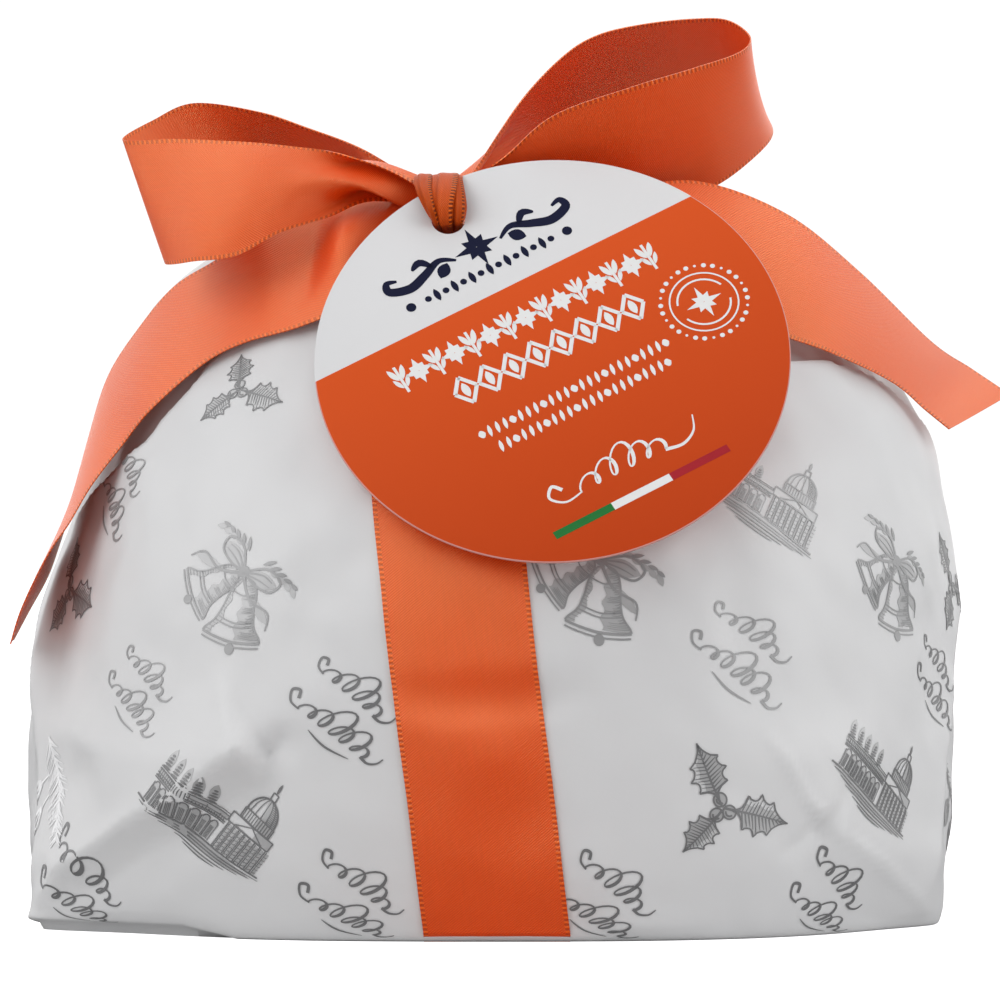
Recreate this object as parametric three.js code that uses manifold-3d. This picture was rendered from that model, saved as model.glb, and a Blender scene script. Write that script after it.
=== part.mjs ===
// A gift-wrapped panettone: a low domed loaf in its baking case and tied film bag, wrapped in white
// paper, with a satin ribbon round it, a bow on its front shoulder and a round card tag on the knot.
// Millimetres, +Z up. The front faces -Y and the whole stands on Z = 0.
import * as THREE from "three";
import { mergeVertices } from "three/addons/utils/BufferGeometryUtils.js";
import Module from "manifold-3d";

const wasm = await Module();
wasm.setup();

// Driving dimensions.
const GAP = 0.4;
const RIBBON_WIDTH = 35;
const RIBBON_THICKNESS = 0.4;
const PAPER_WALL = 1.5;
const TAG_RADIUS = 57.6;
const TAG_THICKNESS = 0.6;
const TAG_HOLE_RADIUS = 4.1;
const TAG_HOLE_PLACE = new THREE.Vector2(-2, 47.5);
const TAG_CENTRE = new THREE.Vector3(14.7, -85.8, 140);
const TAG_LEAN_BACK = THREE.MathUtils.degToRad(31);
const TAG_YAW = THREE.MathUtils.degToRad(-3.1);
const TAG_TURN = THREE.MathUtils.degToRad(27.1);
const KNOT_CENTRE = new THREE.Vector3(-12.5, -50, 178.3);
const KNOT_RADII = new THREE.Vector3(5.6, 6.2, 4.9);
const LOAF_TOP = 134;
const CASE_HEIGHT = 72;
const CASE_WALL = 0.8;
const FILM_WALL = 0.4;
// Puts the middle of the whole, tails and tag included, over the frame's origin.
const LOAF_AXIS = new THREE.Vector3(-6.4, 2.2, 0);

// The wrapped cake's outline at each height: its reach to the left, right, front and back, and how
// square it is (2 is an ellipse). The right shoulder is fuller than the left.
const WRAP_RINGS = [
  { z: 0, left: 110, right: 107, front: 101, back: 100, square: 2.6 },
  { z: 5, left: 114, right: 111.5, front: 106, back: 105, square: 2.6 },
  { z: 20, left: 118.5, right: 117.5, front: 110.5, back: 109, square: 2.5 },
  { z: 45, left: 119.5, right: 119.2, front: 112.5, back: 110, square: 2.4 },
  { z: 75, left: 115.5, right: 119.2, front: 110.5, back: 108, square: 2.3 },
  { z: 100, left: 108.8, right: 118, front: 105, back: 103, square: 2.2 },
  { z: 120, left: 103, right: 114, front: 94.5, back: 94, square: 2.15 },
  { z: 138, left: 96.5, right: 104, front: 83, back: 84, square: 2.1 },
  { z: 152, left: 88.5, right: 89.5, front: 72.5, back: 75, square: 2.05 },
  { z: 163, left: 78.5, right: 71, front: 60.5, back: 64, square: 2 },
  { z: 172, left: 60, right: 50.5, front: 44.5, back: 48, square: 2 },
  { z: 178.5, left: 36, right: 31, front: 27, back: 30, square: 2 },
  { z: 181.5, left: 9, right: 9, front: 8, back: 9, square: 2 },
];
// The four folded corners of the paper stand out at the foot: where each is, and how far it reaches.
const CORNERS = [
  { azimuth: -149.5, reach: 14.5 },
  { azimuth: -24.5, reach: 9 },
  { azimuth: 31, reach: 14 },
  { azimuth: 149, reach: 14 },
];
const CORNER_HALF_WIDTH = THREE.MathUtils.degToRad(9);
const CORNER_HEIGHT = 42;

// A ribbon stretch is a list of stations, each with a point on its upper edge and on its lower edge.
const RIGHT_LOOP = [
  [[-5.6, -53, 182.6], [-6, -46, 179.4]],
  [[3, -53.5, 190], [7, -37, 178.6]],
  [[15, -56, 200.4], [22, -35, 178]],
  [[34, -56, 207.4], [40, -36, 180]],
  [[51, -50, 213], [55, -30, 184]],
  [[62, -42, 217.4], [67, -17, 193]],
  [[65, -32, 222], [72, -6, 200]],
  [[60, -22, 227], [68, 4, 206]],
  [[52, -16, 228], [58, 11, 206]],
  [[39, -12, 227], [41, 14, 204]],
  [[27, -14, 224], [28, 12, 200]],
  [[18, -20, 218], [19, 4, 196]],
  [[7, -32, 205.6], [10, -12, 188]],
  [[-5.6, -44, 187.2], [-5.6, -38, 183]],
];
const LEFT_LOOP = [
  [[-19.6, -54, 182], [-19.6, -47.5, 179.6]],
  [[-30, -57, 188.2], [-30, -51, 179.6]],
  [[-40, -56, 191.7], [-40, -57, 175.6]],
  [[-52, -55, 192.8], [-52, -62, 171.6]],
  [[-65, -54, 194], [-63, -65, 165]],
  [[-78, -51, 195], [-73, -62, 164]],
  [[-92, -43, 195.4], [-81, -50, 164.4]],
  [[-85, -34, 201], [-76, -34, 171]],
  [[-75, -29, 205.6], [-68, -23, 176]],
  [[-59, -26, 203.6], [-57, -9, 180]],
  [[-47, -27, 199.6], [-47, -7, 181]],
  [[-32, -34, 193.4], [-32, -17, 183]],
  [[-19.4, -44, 184.6], [-19.4, -37, 182]],
];
const LEFT_TAIL = [
  [[-19, -47, 178], [-17, -55, 173]],
  [[-30, -45, 180], [-24, -62, 163]],
  [[-44, -46, 176.5], [-32, -69, 154]],
  [[-57, -47, 172], [-47, -70, 148]],
  [[-70, -38, 165], [-61, -65, 144]],
  [[-80, -33, 159], [-71, -61, 139]],
  [[-89, -29, 148.8], [-84, -57, 128]],
  [[-97, -24, 137], [-91.5, -54, 119]],
  [[-101.8, -24.5, 122], [-99, -56, 109]],
  [[-105.2, -27, 107], [-104, -60, 100]],
  [[-109, -29, 94.5], [-108.2, -62, 93.7]],
  [[-112, -30, 86], [-112, -63, 86.6]],
  [[-116.4, -31, 77.8], [-116, -63, 77.7]],
  [[-120.2, -33, 70.4], [-118.4, -62, 70]],
];
const RIGHT_TAIL = [
  [[-6, -46, 177], [-6, -53, 172.5]],
  [[12, -46, 179.6], [17, -60, 167]],
  [[32, -45, 183], [39, -63, 160]],
  [[52, -41, 185], [57, -60, 156]],
  [[74, -38, 177], [69, -58, 147.4]],
  [[93, -26, 163], [84, -53, 142]],
  [[112, -12, 146], [100, -41, 135]],
  [[123, -4, 139.2], [109, -35, 128]],
  [[133, -3, 132.6], [115, -33, 123.3]],
];
// The band's middle line on the front and the back: height, sideways place and width.
const BAND_LINE = [
  { z: 164, x: -13.5, width: 15 },
  { z: 157, x: -13.5, width: 24 },
  { z: 148, x: -13.5, width: 31 },
  { z: 138, x: -13.2, width: RIBBON_WIDTH },
  { z: 128, x: -12.6, width: RIBBON_WIDTH },
  { z: 116, x: -11.8, width: RIBBON_WIDTH },
  { z: 103, x: -10.7, width: RIBBON_WIDTH },
  { z: 88, x: -9, width: RIBBON_WIDTH },
  { z: 72, x: -7.3, width: RIBBON_WIDTH },
  { z: 54, x: -5.1, width: RIBBON_WIDTH },
  { z: 36, x: -2.7, width: RIBBON_WIDTH },
  { z: 20, x: -0.8, width: RIBBON_WIDTH },
  { z: 8, x: 0.6, width: RIBBON_WIDTH },
  { z: 2, x: 1.3, width: RIBBON_WIDTH },
];
// The band's way over the crown, from the back up to the knot: place along Y, height, sideways, width.
const BAND_CROWN = [
  { y: 44, z: 175.8, x: -5.6, width: 29 },
  { y: 30, z: 180.4, x: -5.4, width: 27 },
  { y: 12, z: 183.4, x: -5.8, width: 25 },
  { y: -6, z: 183.6, x: -7.6, width: 22 },
  { y: -22, z: 181.4, x: -10.4, width: 17 },
  { y: -36, z: 177.4, x: -12.8, width: 12 },
];
// The wrap round the bow's waist: it passes over the tag's rim, through its hole and back behind.
const KNOT_WRAP = [
  { at: [-13, -50, 184.6], halfWidth: 5.6, halfThickness: 0.7 },
  { at: [-13.2, -58.2, 185.5], halfWidth: 5.5, halfThickness: 0.7 },
  { at: [-12.7, -64.4, 182], halfWidth: 5, halfThickness: 0.8 },
  { at: [-11.4, -67, 177.8], halfWidth: 4.2, halfThickness: 1.1 },
  { at: [-10.6, -66, 174.6], halfWidth: 3.4, halfThickness: 1.4 },
  { at: [-10.5, -62.4, 173.3], halfWidth: 3, halfThickness: 1.3 },
  { at: [-10.9, -57.4, 171.6], halfWidth: 3.2, halfThickness: 0.9 },
  { at: [-12, -50.4, 171.6], halfWidth: 4, halfThickness: 0.8 },
  { at: [-12.6, -44.2, 173.6], halfWidth: 4.6, halfThickness: 0.8 },
  { at: [-13, -41.4, 177.6], halfWidth: 5, halfThickness: 0.8 },
  { at: [-13.2, -43.4, 182.6], halfWidth: 5.4, halfThickness: 0.7 },
];

const LOAF_PROFILE = [
  [0, 3.9], [92, 3.9], [95.6, 6], [97.2, 24], [98.2, 48], [99, 74], [100.5, 83], [99.5, 94],
  [94, 106], [82, 117], [62, 126.5], [34, 132.4], [0, LOAF_TOP],
];
const CASE_PROFILE = [
  [0, 3.5], [92.6, 3.5], [96.4, 5.9], [98.8, 40], [99.7, CASE_HEIGHT],
  [99.7 + CASE_WALL, CASE_HEIGHT], [99.6, 40], [97.2, 5.6], [92.9, 2.7], [0, 2.7],
];
const BAG_PROFILE = [
  [0, 2.3], [93.4, 2.3], [97.7, 5.4], [100.2, 40], [101.2, 74], [101.6, 84], [100.4, 95.4], [94.6, 107.6],
  [82.6, 118.8], [62.4, 128.2], [36, 134.6], [14, 141], [5, 148], [3.2, 156], [5.4, 166],
  [5.8, 166], [3.6, 156], [5.5, 148], [14.3, 141.4], [36.2, 135], [62.7, 128.6], [83, 119.1],
  [95, 107.8], [100.8, 95.5], [102, 84], [101.6, 74], [100.6, 40], [98.1, 5.2], [93.6, 1.9], [0, 1.9],
];

function finish(colour, roughness) {
  return new THREE.MeshStandardMaterial({ color: colour, roughness, metalness: 0 });
}

const PAPER = finish(0xdcdcdc, 0.45);
const SATIN = finish(0xd84a05, 0.38);
const CARD = finish(0xcf4a08, 0.6);
const FILM = finish(0xe8eef0, 0.2);
const BREAD = finish(0xb8752f, 0.85);
const BAKING_PAPER = finish(0x6b3d1c, 0.8);
const TWIST_WIRE = finish(0xc9a227, 0.35);

function mesh(name, geometry, material) {
  const made = new THREE.Mesh(geometry, material);
  made.name = name;
  return made;
}

function toManifold(geometry) {
  const bare = geometry.clone();
  bare.deleteAttribute("normal");
  bare.deleteAttribute("uv");
  const merged = mergeVertices(bare, 1e-4);
  return new wasm.Manifold(
    new wasm.Mesh({
      numProp: 3,
      vertProperties: merged.attributes.position.array,
      triVerts: new Uint32Array(merged.index.array),
    }),
  );
}

function fromManifold(solid) {
  const cut = solid.getMesh();
  const geometry = new THREE.BufferGeometry();
  geometry.setAttribute("position", new THREE.BufferAttribute(cut.vertProperties, 3));
  geometry.setIndex(new THREE.BufferAttribute(cut.triVerts, 1));
  geometry.computeVertexNormals();
  return geometry;
}

// A geometry from points and triangles, turned so that its faces point out.
function closedGeometry(points, triangles) {
  let volume = 0;
  const normal = new THREE.Vector3();
  for (const [a, b, c] of triangles) {
    normal.crossVectors(points[b], points[c]);
    volume += points[a].dot(normal);
  }
  const turned = volume < 0 ? triangles.map(([a, b, c]) => [a, c, b]) : triangles;
  const geometry = new THREE.BufferGeometry().setFromPoints(points);
  geometry.setIndex(turned.flat());
  geometry.computeVertexNormals();
  return geometry;
}

// Joins rings of points into one closed body with a fan over the first ring and over the last.
function loftRings(rings, firstPole, lastPole) {
  const count = rings[0].length;
  const points = [firstPole, ...rings.flat(), lastPole];
  const last = points.length - 1;
  const triangles = [];
  for (let side = 0; side < count; side += 1) {
    const next = (side + 1) % count;
    triangles.push([0, 1 + next, 1 + side]);
    triangles.push([last, last - count + side, last - count + next]);
    for (let ring = 0; ring < rings.length - 1; ring += 1) {
      const low = 1 + ring * count;
      const high = low + count;
      triangles.push([low + side, low + next, high + next]);
      triangles.push([low + side, high + next, high + side]);
    }
  }
  return closedGeometry(points, triangles);
}

// The paper's outline values at a place up the list of rings, from 0 to 1.
const ringKeys = Object.keys(WRAP_RINGS[0]);
const ringCurves = Object.fromEntries(
  ringKeys.map((key) => [
    key,
    new THREE.SplineCurve(WRAP_RINGS.map((ring, index) => new THREE.Vector2(index, ring[key]))),
  ]),
);

function ringAt(share) {
  return Object.fromEntries(ringKeys.map((key) => [key, ringCurves[key].getPoint(share).y]));
}

// The same values at a height, found by halving.
function ringAtHeight(z) {
  let low = 0;
  let high = 1;
  for (let step = 0; step < 30; step += 1) {
    const middle = (low + high) / 2;
    if (ringAt(middle).z < z) low = middle;
    else high = middle;
  }
  return ringAt(low);
}

// One point of the paper at an angle round the axis, drawn in by a wall thickness.
function paperPoint(ring, angle, inset) {
  const across = (Math.cos(angle) < 0 ? ring.left : ring.right) - inset;
  const along = (Math.sin(angle) < 0 ? ring.front : ring.back) - inset;
  const sum =
    (Math.abs(Math.cos(angle)) / across) ** ring.square + (Math.abs(Math.sin(angle)) / along) ** ring.square;
  const foot = Math.max(0, 1 - ring.z / CORNER_HEIGHT) ** 2;
  let corner = 0;
  for (const { azimuth, reach } of CORNERS) {
    const off = angle - THREE.MathUtils.degToRad(azimuth);
    const nearest = Math.atan2(Math.sin(off), Math.cos(off));
    corner += reach * foot * Math.exp(-((nearest / CORNER_HALF_WIDTH) ** 2));
  }
  const reach = sum ** (-1 / ring.square) + corner;
  return new THREE.Vector3(reach * Math.cos(angle), reach * Math.sin(angle), ring.z);
}

// How far the paper reaches along Y at a sideways place and a height.
function paperReach(x, z, side) {
  const ring = ringAtHeight(z);
  const across = x < 0 ? ring.left : ring.right;
  const along = side < 0 ? ring.front : ring.back;
  return along * (1 - (Math.abs(x) / across) ** ring.square) ** (1 / ring.square);
}

// The wrapping paper: one shell, open at the gather under the bow, grooved where the band passes.
function wrapper(bandRoom) {
  const SIDES = 64;
  const OUTER_RINGS = 24;
  const INNER_RINGS = 11;
  const ringPoints = (share, inset, lift) => {
    const ring = ringAt(share);
    const points = [];
    for (let side = 0; side < SIDES; side += 1) {
      const point = paperPoint(ring, (side / SIDES) * 2 * Math.PI, inset);
      points.push(point.setZ(ring.z + lift * (1 - 2 * share)));
    }
    return points;
  };
  const rings = [];
  for (let ring = 0; ring < OUTER_RINGS; ring += 1) {
    rings.push(ringPoints(ring / (OUTER_RINGS - 1), 0, 0));
  }
  for (let ring = INNER_RINGS - 1; ring >= 0; ring -= 1) {
    rings.push(ringPoints(ring / (INNER_RINGS - 1), PAPER_WALL, PAPER_WALL));
  }
  const shell = loftRings(rings, new THREE.Vector3(0, 0, 0), new THREE.Vector3(0, 0, PAPER_WALL));
  return fromManifold(toManifold(shell).subtract(toManifold(bandRoom)));
}

// Smooth edge rails through a stretch's stations.
function smoothRails(stations, steps) {
  return [0, 1].map((edge) => {
    const curve = new THREE.CatmullRomCurve3(
      stations.map((station) => new THREE.Vector3(...station[edge])),
      false,
      "catmullrom",
      0.5,
    );
    return curve.getPoints(steps);
  });
}

// A flat ribbon of even thickness between two rails, bowed a little across its width.
function ribbon([upper, lower], thickness, crown = 0) {
  const ACROSS = 4;
  const last = upper.length - 1;
  const middle = upper.map((point, step) =>
    Array.from({ length: ACROSS + 1 }, (_, place) => point.clone().lerp(lower[step], place / ACROSS)),
  );
  const normalAt = (step) => {
    const ahead = middle[Math.min(step + 1, last)][ACROSS / 2];
    const behind = middle[Math.max(step - 1, 0)][ACROSS / 2];
    const along = ahead.clone().sub(behind);
    const across = lower[step].clone().sub(upper[step]);
    return along.cross(across).normalize();
  };
  const points = [];
  middle.forEach((row, step) => {
    const normal = normalAt(step);
    for (const face of [0.5, -0.5]) {
      row.forEach((point, place) => {
        const bow = crown * (1 - (2 * place / ACROSS - 1) ** 2);
        points.push(point.clone().addScaledVector(normal, bow + face * thickness));
      });
    }
  });
  const wide = ACROSS + 1;
  const index = (step, face, place) => step * 2 * wide + face * wide + place;
  const triangles = [];
  const quad = (a, b, c, d) => triangles.push([a, b, c], [a, c, d]);
  for (let step = 0; step < last; step += 1) {
    for (let place = 0; place < ACROSS; place += 1) {
      quad(index(step, 0, place), index(step + 1, 0, place), index(step + 1, 0, place + 1), index(step, 0, place + 1));
      quad(index(step, 1, place), index(step, 1, place + 1), index(step + 1, 1, place + 1), index(step + 1, 1, place));
    }
    quad(index(step, 0, 0), index(step, 1, 0), index(step + 1, 1, 0), index(step + 1, 0, 0));
    quad(
      index(step, 0, ACROSS), index(step + 1, 0, ACROSS),
      index(step + 1, 1, ACROSS), index(step, 1, ACROSS),
    );
  }
  for (let place = 0; place < ACROSS; place += 1) {
    quad(index(0, 0, place), index(0, 0, place + 1), index(0, 1, place + 1), index(0, 1, place));
    quad(index(last, 0, place), index(last, 1, place), index(last, 1, place + 1), index(last, 0, place + 1));
  }
  return closedGeometry(points, triangles);
}

// The band's two rails: down the front, under the base, up the back and over the crown to the knot.
function bandRails(margin) {
  const LIFT_OFF_PAPER = 1.2;
  const BACK_SLANT = 0.5;
  const CROWN_WIDTH = 29;
  const middles = [];
  for (const { z, x, width } of BAND_LINE) {
    middles.push({ x, y: -paperReach(x, z, -1) - LIFT_OFF_PAPER, z, width });
  }
  const underside = RIBBON_THICKNESS / 2;
  const footX = 1.4;
  for (const y of [-100.5, -94, 0, 94, 99.5]) {
    middles.push({ x: footX, y, z: underside, width: RIBBON_WIDTH });
  }
  for (const { z, x, width } of [...BAND_LINE].reverse()) {
    const backX = footX + (x - footX) * BACK_SLANT;
    const backWidth = Math.max(width, CROWN_WIDTH);
    middles.push({ x: backX, y: paperReach(backX, z, 1) + LIFT_OFF_PAPER, z, width: backWidth });
  }
  for (const { y, z, x, width } of BAND_CROWN) {
    middles.push({ x, y, z, width });
  }
  return [-1, 1].map((side) =>
    middles.map(({ x, y, z, width }) => new THREE.Vector3(x + side * (width / 2 + margin), y, z)),
  );
}

// The bow's gathered waist.
function knot() {
  const lump = new THREE.SphereGeometry(1, 20, 12);
  lump.scale(KNOT_RADII.x, KNOT_RADII.y, KNOT_RADII.z);
  lump.translate(KNOT_CENTRE.x, KNOT_CENTRE.y, KNOT_CENTRE.z);
  return lump;
}

// A closed strap of oval section round the waist and through the tag's hole.
function knotWrap() {
  const SIDES = 10;
  const STEPS = 44;
  const path = new THREE.CatmullRomCurve3(KNOT_WRAP.map(({ at }) => new THREE.Vector3(...at)), true);
  const sizes = new THREE.CatmullRomCurve3(
    KNOT_WRAP.map(({ halfWidth, halfThickness }) => new THREE.Vector3(halfWidth, halfThickness, 0)),
    true,
  );
  const sideways = new THREE.Vector3(1, 0, 0);
  const points = [];
  for (let step = 0; step < STEPS; step += 1) {
    const along = path.getTangent(step / STEPS);
    const out = along.clone().cross(sideways).normalize();
    const across = out.clone().cross(along).normalize();
    const size = sizes.getPoint(step / STEPS);
    for (let side = 0; side < SIDES; side += 1) {
      const angle = (side / SIDES) * 2 * Math.PI;
      points.push(
        path
          .getPoint(step / STEPS)
          .addScaledVector(across, size.x * Math.cos(angle))
          .addScaledVector(out, size.y * Math.sin(angle)),
      );
    }
  }
  const triangles = [];
  for (let step = 0; step < STEPS; step += 1) {
    const low = step * SIDES;
    const high = ((step + 1) % STEPS) * SIDES;
    for (let side = 0; side < SIDES; side += 1) {
      const next = (side + 1) % SIDES;
      triangles.push([low + side, low + next, high + next], [low + side, high + next, high + side]);
    }
  }
  return closedGeometry(points, triangles);
}

// The round card tag with its hole near the top, in its own plane: X along its lines, Y up.
function tagDisc() {
  const outline = new THREE.Shape();
  outline.absarc(0, 0, TAG_RADIUS, 0, 2 * Math.PI, false);
  const hole = new THREE.Path();
  hole.absarc(TAG_HOLE_PLACE.x, TAG_HOLE_PLACE.y, TAG_HOLE_RADIUS, 0, 2 * Math.PI, true);
  outline.holes.push(hole);
  const disc = new THREE.ExtrudeGeometry(outline, {
    depth: TAG_THICKNESS,
    bevelEnabled: false,
    curveSegments: 48,
  });
  return disc.translate(0, 0, -TAG_THICKNESS / 2);
}

function tag() {
  const hung = mesh("tag", tagDisc(), CARD);
  hung.rotation.z = TAG_TURN;
  const leaning = new THREE.Group();
  leaning.rotation.set(Math.PI / 2 - TAG_LEAN_BACK, 0, 0);
  leaning.add(hung);
  const yawed = new THREE.Group();
  yawed.rotation.y = TAG_YAW;
  yawed.position.copy(TAG_CENTRE);
  yawed.add(leaning);
  return yawed;
}

function turned(profile) {
  const ROUND = 40;
  return new THREE.LatheGeometry(
    profile.map(([radius, height]) => new THREE.Vector2(radius, height)),
    ROUND,
  ).rotateX(Math.PI / 2);
}

// The loaf in its case and bag, each turned about the loaf's own axis.
function cake() {
  const group = new THREE.Group();
  group.add(mesh("loaf", turned(LOAF_PROFILE), BREAD));
  group.add(mesh("baking_case", turned([...CASE_PROFILE].reverse()), BAKING_PAPER));
  group.add(mesh("inner_bag", turned([...BAG_PROFILE].reverse()), FILM));
  const tie = new THREE.TorusGeometry(5.3, 1.2, 8, 28);
  tie.translate(0, 0, 156);
  group.add(mesh("bag_tie", tie, TWIST_WIRE));
  return group;
}

function bow() {
  const group = new THREE.Group();
  const LOOP_STEPS = 36;
  const TAIL_STEPS = 24;
  group.add(mesh("bow_loop_right", ribbon(smoothRails(RIGHT_LOOP, LOOP_STEPS), RIBBON_THICKNESS), SATIN));
  group.add(mesh("bow_loop_left", ribbon(smoothRails(LEFT_LOOP, LOOP_STEPS), RIBBON_THICKNESS), SATIN));
  group.add(mesh("bow_tail_left", ribbon(smoothRails(LEFT_TAIL, TAIL_STEPS), RIBBON_THICKNESS), SATIN));
  group.add(mesh("bow_tail_right", ribbon(smoothRails(RIGHT_TAIL, TAIL_STEPS), RIBBON_THICKNESS), SATIN));
  group.add(mesh("bow_knot", knot(), SATIN));
  group.add(mesh("knot_wrap", knotWrap(), SATIN));
  return group;
}

const panettone = new THREE.Group();
const wrapped = new THREE.Group();
wrapped.position.copy(LOAF_AXIS);
wrapped.add(cake());
wrapped.add(mesh("wrapper", wrapper(ribbon(bandRails(GAP), RIBBON_THICKNESS + 2 * GAP)), PAPER));
wrapped.add(mesh("ribbon_band", ribbon(bandRails(0), RIBBON_THICKNESS), SATIN));
wrapped.add(bow());
wrapped.add(tag());
panettone.add(wrapped);

export default panettone;
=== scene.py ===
"""The looks of a gift-wrapped panettone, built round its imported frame.

Sizes are in millimetres from the loaf's own axis unless a name says metres. The front faces -Y.
"""

import logging
import math
import random
from dataclasses import dataclass
from enum import Enum
from typing import Sequence

import bpy
import numpy as np
from mathutils import Matrix, Vector
from mathutils.bvhtree import BVHTree


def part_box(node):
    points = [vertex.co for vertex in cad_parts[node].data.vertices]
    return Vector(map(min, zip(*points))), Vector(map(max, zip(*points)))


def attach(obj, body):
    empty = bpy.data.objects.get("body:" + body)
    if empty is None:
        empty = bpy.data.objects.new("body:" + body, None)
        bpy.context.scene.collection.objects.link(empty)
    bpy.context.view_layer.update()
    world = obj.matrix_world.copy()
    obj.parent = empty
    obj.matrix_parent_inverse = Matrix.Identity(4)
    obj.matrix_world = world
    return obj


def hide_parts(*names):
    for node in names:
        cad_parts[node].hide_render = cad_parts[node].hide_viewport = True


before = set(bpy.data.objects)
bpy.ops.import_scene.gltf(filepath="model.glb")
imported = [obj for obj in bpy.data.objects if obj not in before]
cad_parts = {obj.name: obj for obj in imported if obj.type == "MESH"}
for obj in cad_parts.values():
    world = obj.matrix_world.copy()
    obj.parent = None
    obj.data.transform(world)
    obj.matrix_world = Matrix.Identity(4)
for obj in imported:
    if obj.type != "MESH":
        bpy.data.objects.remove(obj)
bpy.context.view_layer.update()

MM = 0.001
BODY = "root"
WEAVE_MAP = "Weave"
RIBBON_MM = 35.0
RIBBON_THICK_MM = 0.32
RIBBON_COLUMNS = 41
log = logging.getLogger("panettone")

Point = tuple[float, float, float]
Flat = tuple[float, float]
Station = tuple[Point, Point]
Colour = tuple[float, float, float, float]
Piece = bpy.types.Object
Material = bpy.types.Material
Socket = bpy.types.NodeSocket


def loaf_axis() -> np.ndarray:
    """The loaf's axis where it meets the floor, in metres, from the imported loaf."""
    low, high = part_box("loaf")
    return np.array([(low[0] + high[0]) / 2, (low[1] + high[1]) / 2, 0.0])


AXIS = loaf_axis()


# ---- Finishes ----


class NodeTree:
    """A small wrapper that adds shader nodes and joins them."""

    def __init__(self, name: str) -> None:
        """Start a material with only a Principled shader and its output."""
        self.material = bpy.data.materials.new(name)
        self.use(self.material)
        self.shader = self.nodes["Principled BSDF"]

    def use(self, owner: bpy.types.ID) -> None:
        """Work on the nodes of a material or a world.

        Args:
            owner: The material or world.
        """
        owner.use_nodes = True
        self.nodes = owner.node_tree.nodes
        self.links = owner.node_tree.links

    def add(self, kind: str, **settings: object) -> bpy.types.Node:
        """Add a node and set its properties.

        Args:
            kind: The node's type name.
            **settings: Property values, or default values of inputs given as in_NAME.

        Returns:
            The new node.
        """
        node = self.nodes.new(kind)
        for key, value in settings.items():
            if key.startswith("in_"):
                node.inputs[key[3:].replace("_", " ")].default_value = value
            else:
                setattr(node, key, value)
        return node

    def join(self, source: Socket, target: Socket) -> None:
        """Link two sockets."""
        self.links.new(source, target)

    def sets(self, **values: object) -> None:
        """Set the shader's own sockets, named with underscores for spaces."""
        for key, value in values.items():
            self.shader.inputs[key.replace("_", " ")].default_value = value

    def feed(self, node: bpy.types.Node, values: dict[int | str, object]) -> None:
        """Give a node's inputs a socket or a plain value each.

        Args:
            node: The node.
            values: The sockets or values, by the number or name of the input.
        """
        for place, value in values.items():
            if isinstance(value, Socket):
                self.join(value, node.inputs[place])
            else:
                node.inputs[place].default_value = value

    def maths(self, operation: str, *values: object) -> Socket:
        """Add a Math node.

        Args:
            operation: The node's operation.
            *values: Up to three sockets or numbers.

        Returns:
            The result's socket.
        """
        node = self.add("ShaderNodeMath", operation=operation)
        self.feed(node, dict(enumerate(values)))
        return node.outputs[0]

    def noise(self, scale: float, detail: float = 2.0) -> Socket:
        """Add a noise that fills the piece's own space.

        Args:
            scale: How many of its lumps fit in a metre.
            detail: Its finer octaves.

        Returns:
            The noise's socket, from 0 to 1.
        """
        node = self.add("ShaderNodeTexNoise", in_Scale=scale, in_Detail=detail)
        self.join(self.add("ShaderNodeTexCoord").outputs["Object"], node.inputs["Vector"])
        return node.outputs["Fac"]

    def colour(self, source: Socket) -> None:
        """Drive the shader's base colour."""
        self.join(source, self.shader.inputs["Base Color"])

    def mix(self, share: object, first: object, second: object) -> Socket:
        """Mix two colours by a share.

        Args:
            share: A socket or a number from 0 to 1.
            first: The colour or socket at 0.
            second: The colour or socket at 1.

        Returns:
            The mixed colour's socket.
        """
        node = self.add("ShaderNodeMix", data_type="RGBA")
        self.feed(node, {0: share, 6: first, 7: second})
        return node.outputs[2]

    def bump(self, height: Socket, strength: float, distance: float) -> None:
        """Drive the shader's normal from a height.

        Args:
            height: The height socket.
            strength: How strongly it shows.
            distance: The height's real size in metres.
        """
        node = self.add("ShaderNodeBump", in_Strength=strength, in_Distance=distance)
        self.join(height, node.inputs["Height"])
        self.join(node.outputs[0], self.shader.inputs["Normal"])


def rgb(red: float, green: float, blue: float) -> Colour:
    """A linear colour with full alpha."""
    return (red, green, blue, 1.0)


@dataclass(frozen=True)
class CoatedPaper:
    """White coated gift paper with a soft sheen."""

    white: Colour = rgb(0.70, 0.70, 0.705)
    shade: Colour = rgb(0.65, 0.65, 0.66)
    roughness: float = 0.46

    def make(self) -> Material:
        """Build the material.

        Returns:
            The material.
        """
        tree = NodeTree("coated_paper")
        tree.colour(tree.mix(tree.noise(26.0, 3.0), self.white, self.shade))
        fibre = tree.noise(900.0)
        spread = tree.maths("MULTIPLY_ADD", tree.noise(60.0), 0.16, self.roughness - 0.08)
        tree.join(spread, tree.shader.inputs["Roughness"])
        tree.bump(fibre, 0.12, 0.0001)
        tree.sets(Specular_IOR_Level=0.45, Coat_Weight=0.06, Coat_Roughness=0.35)
        return tree.material


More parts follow.
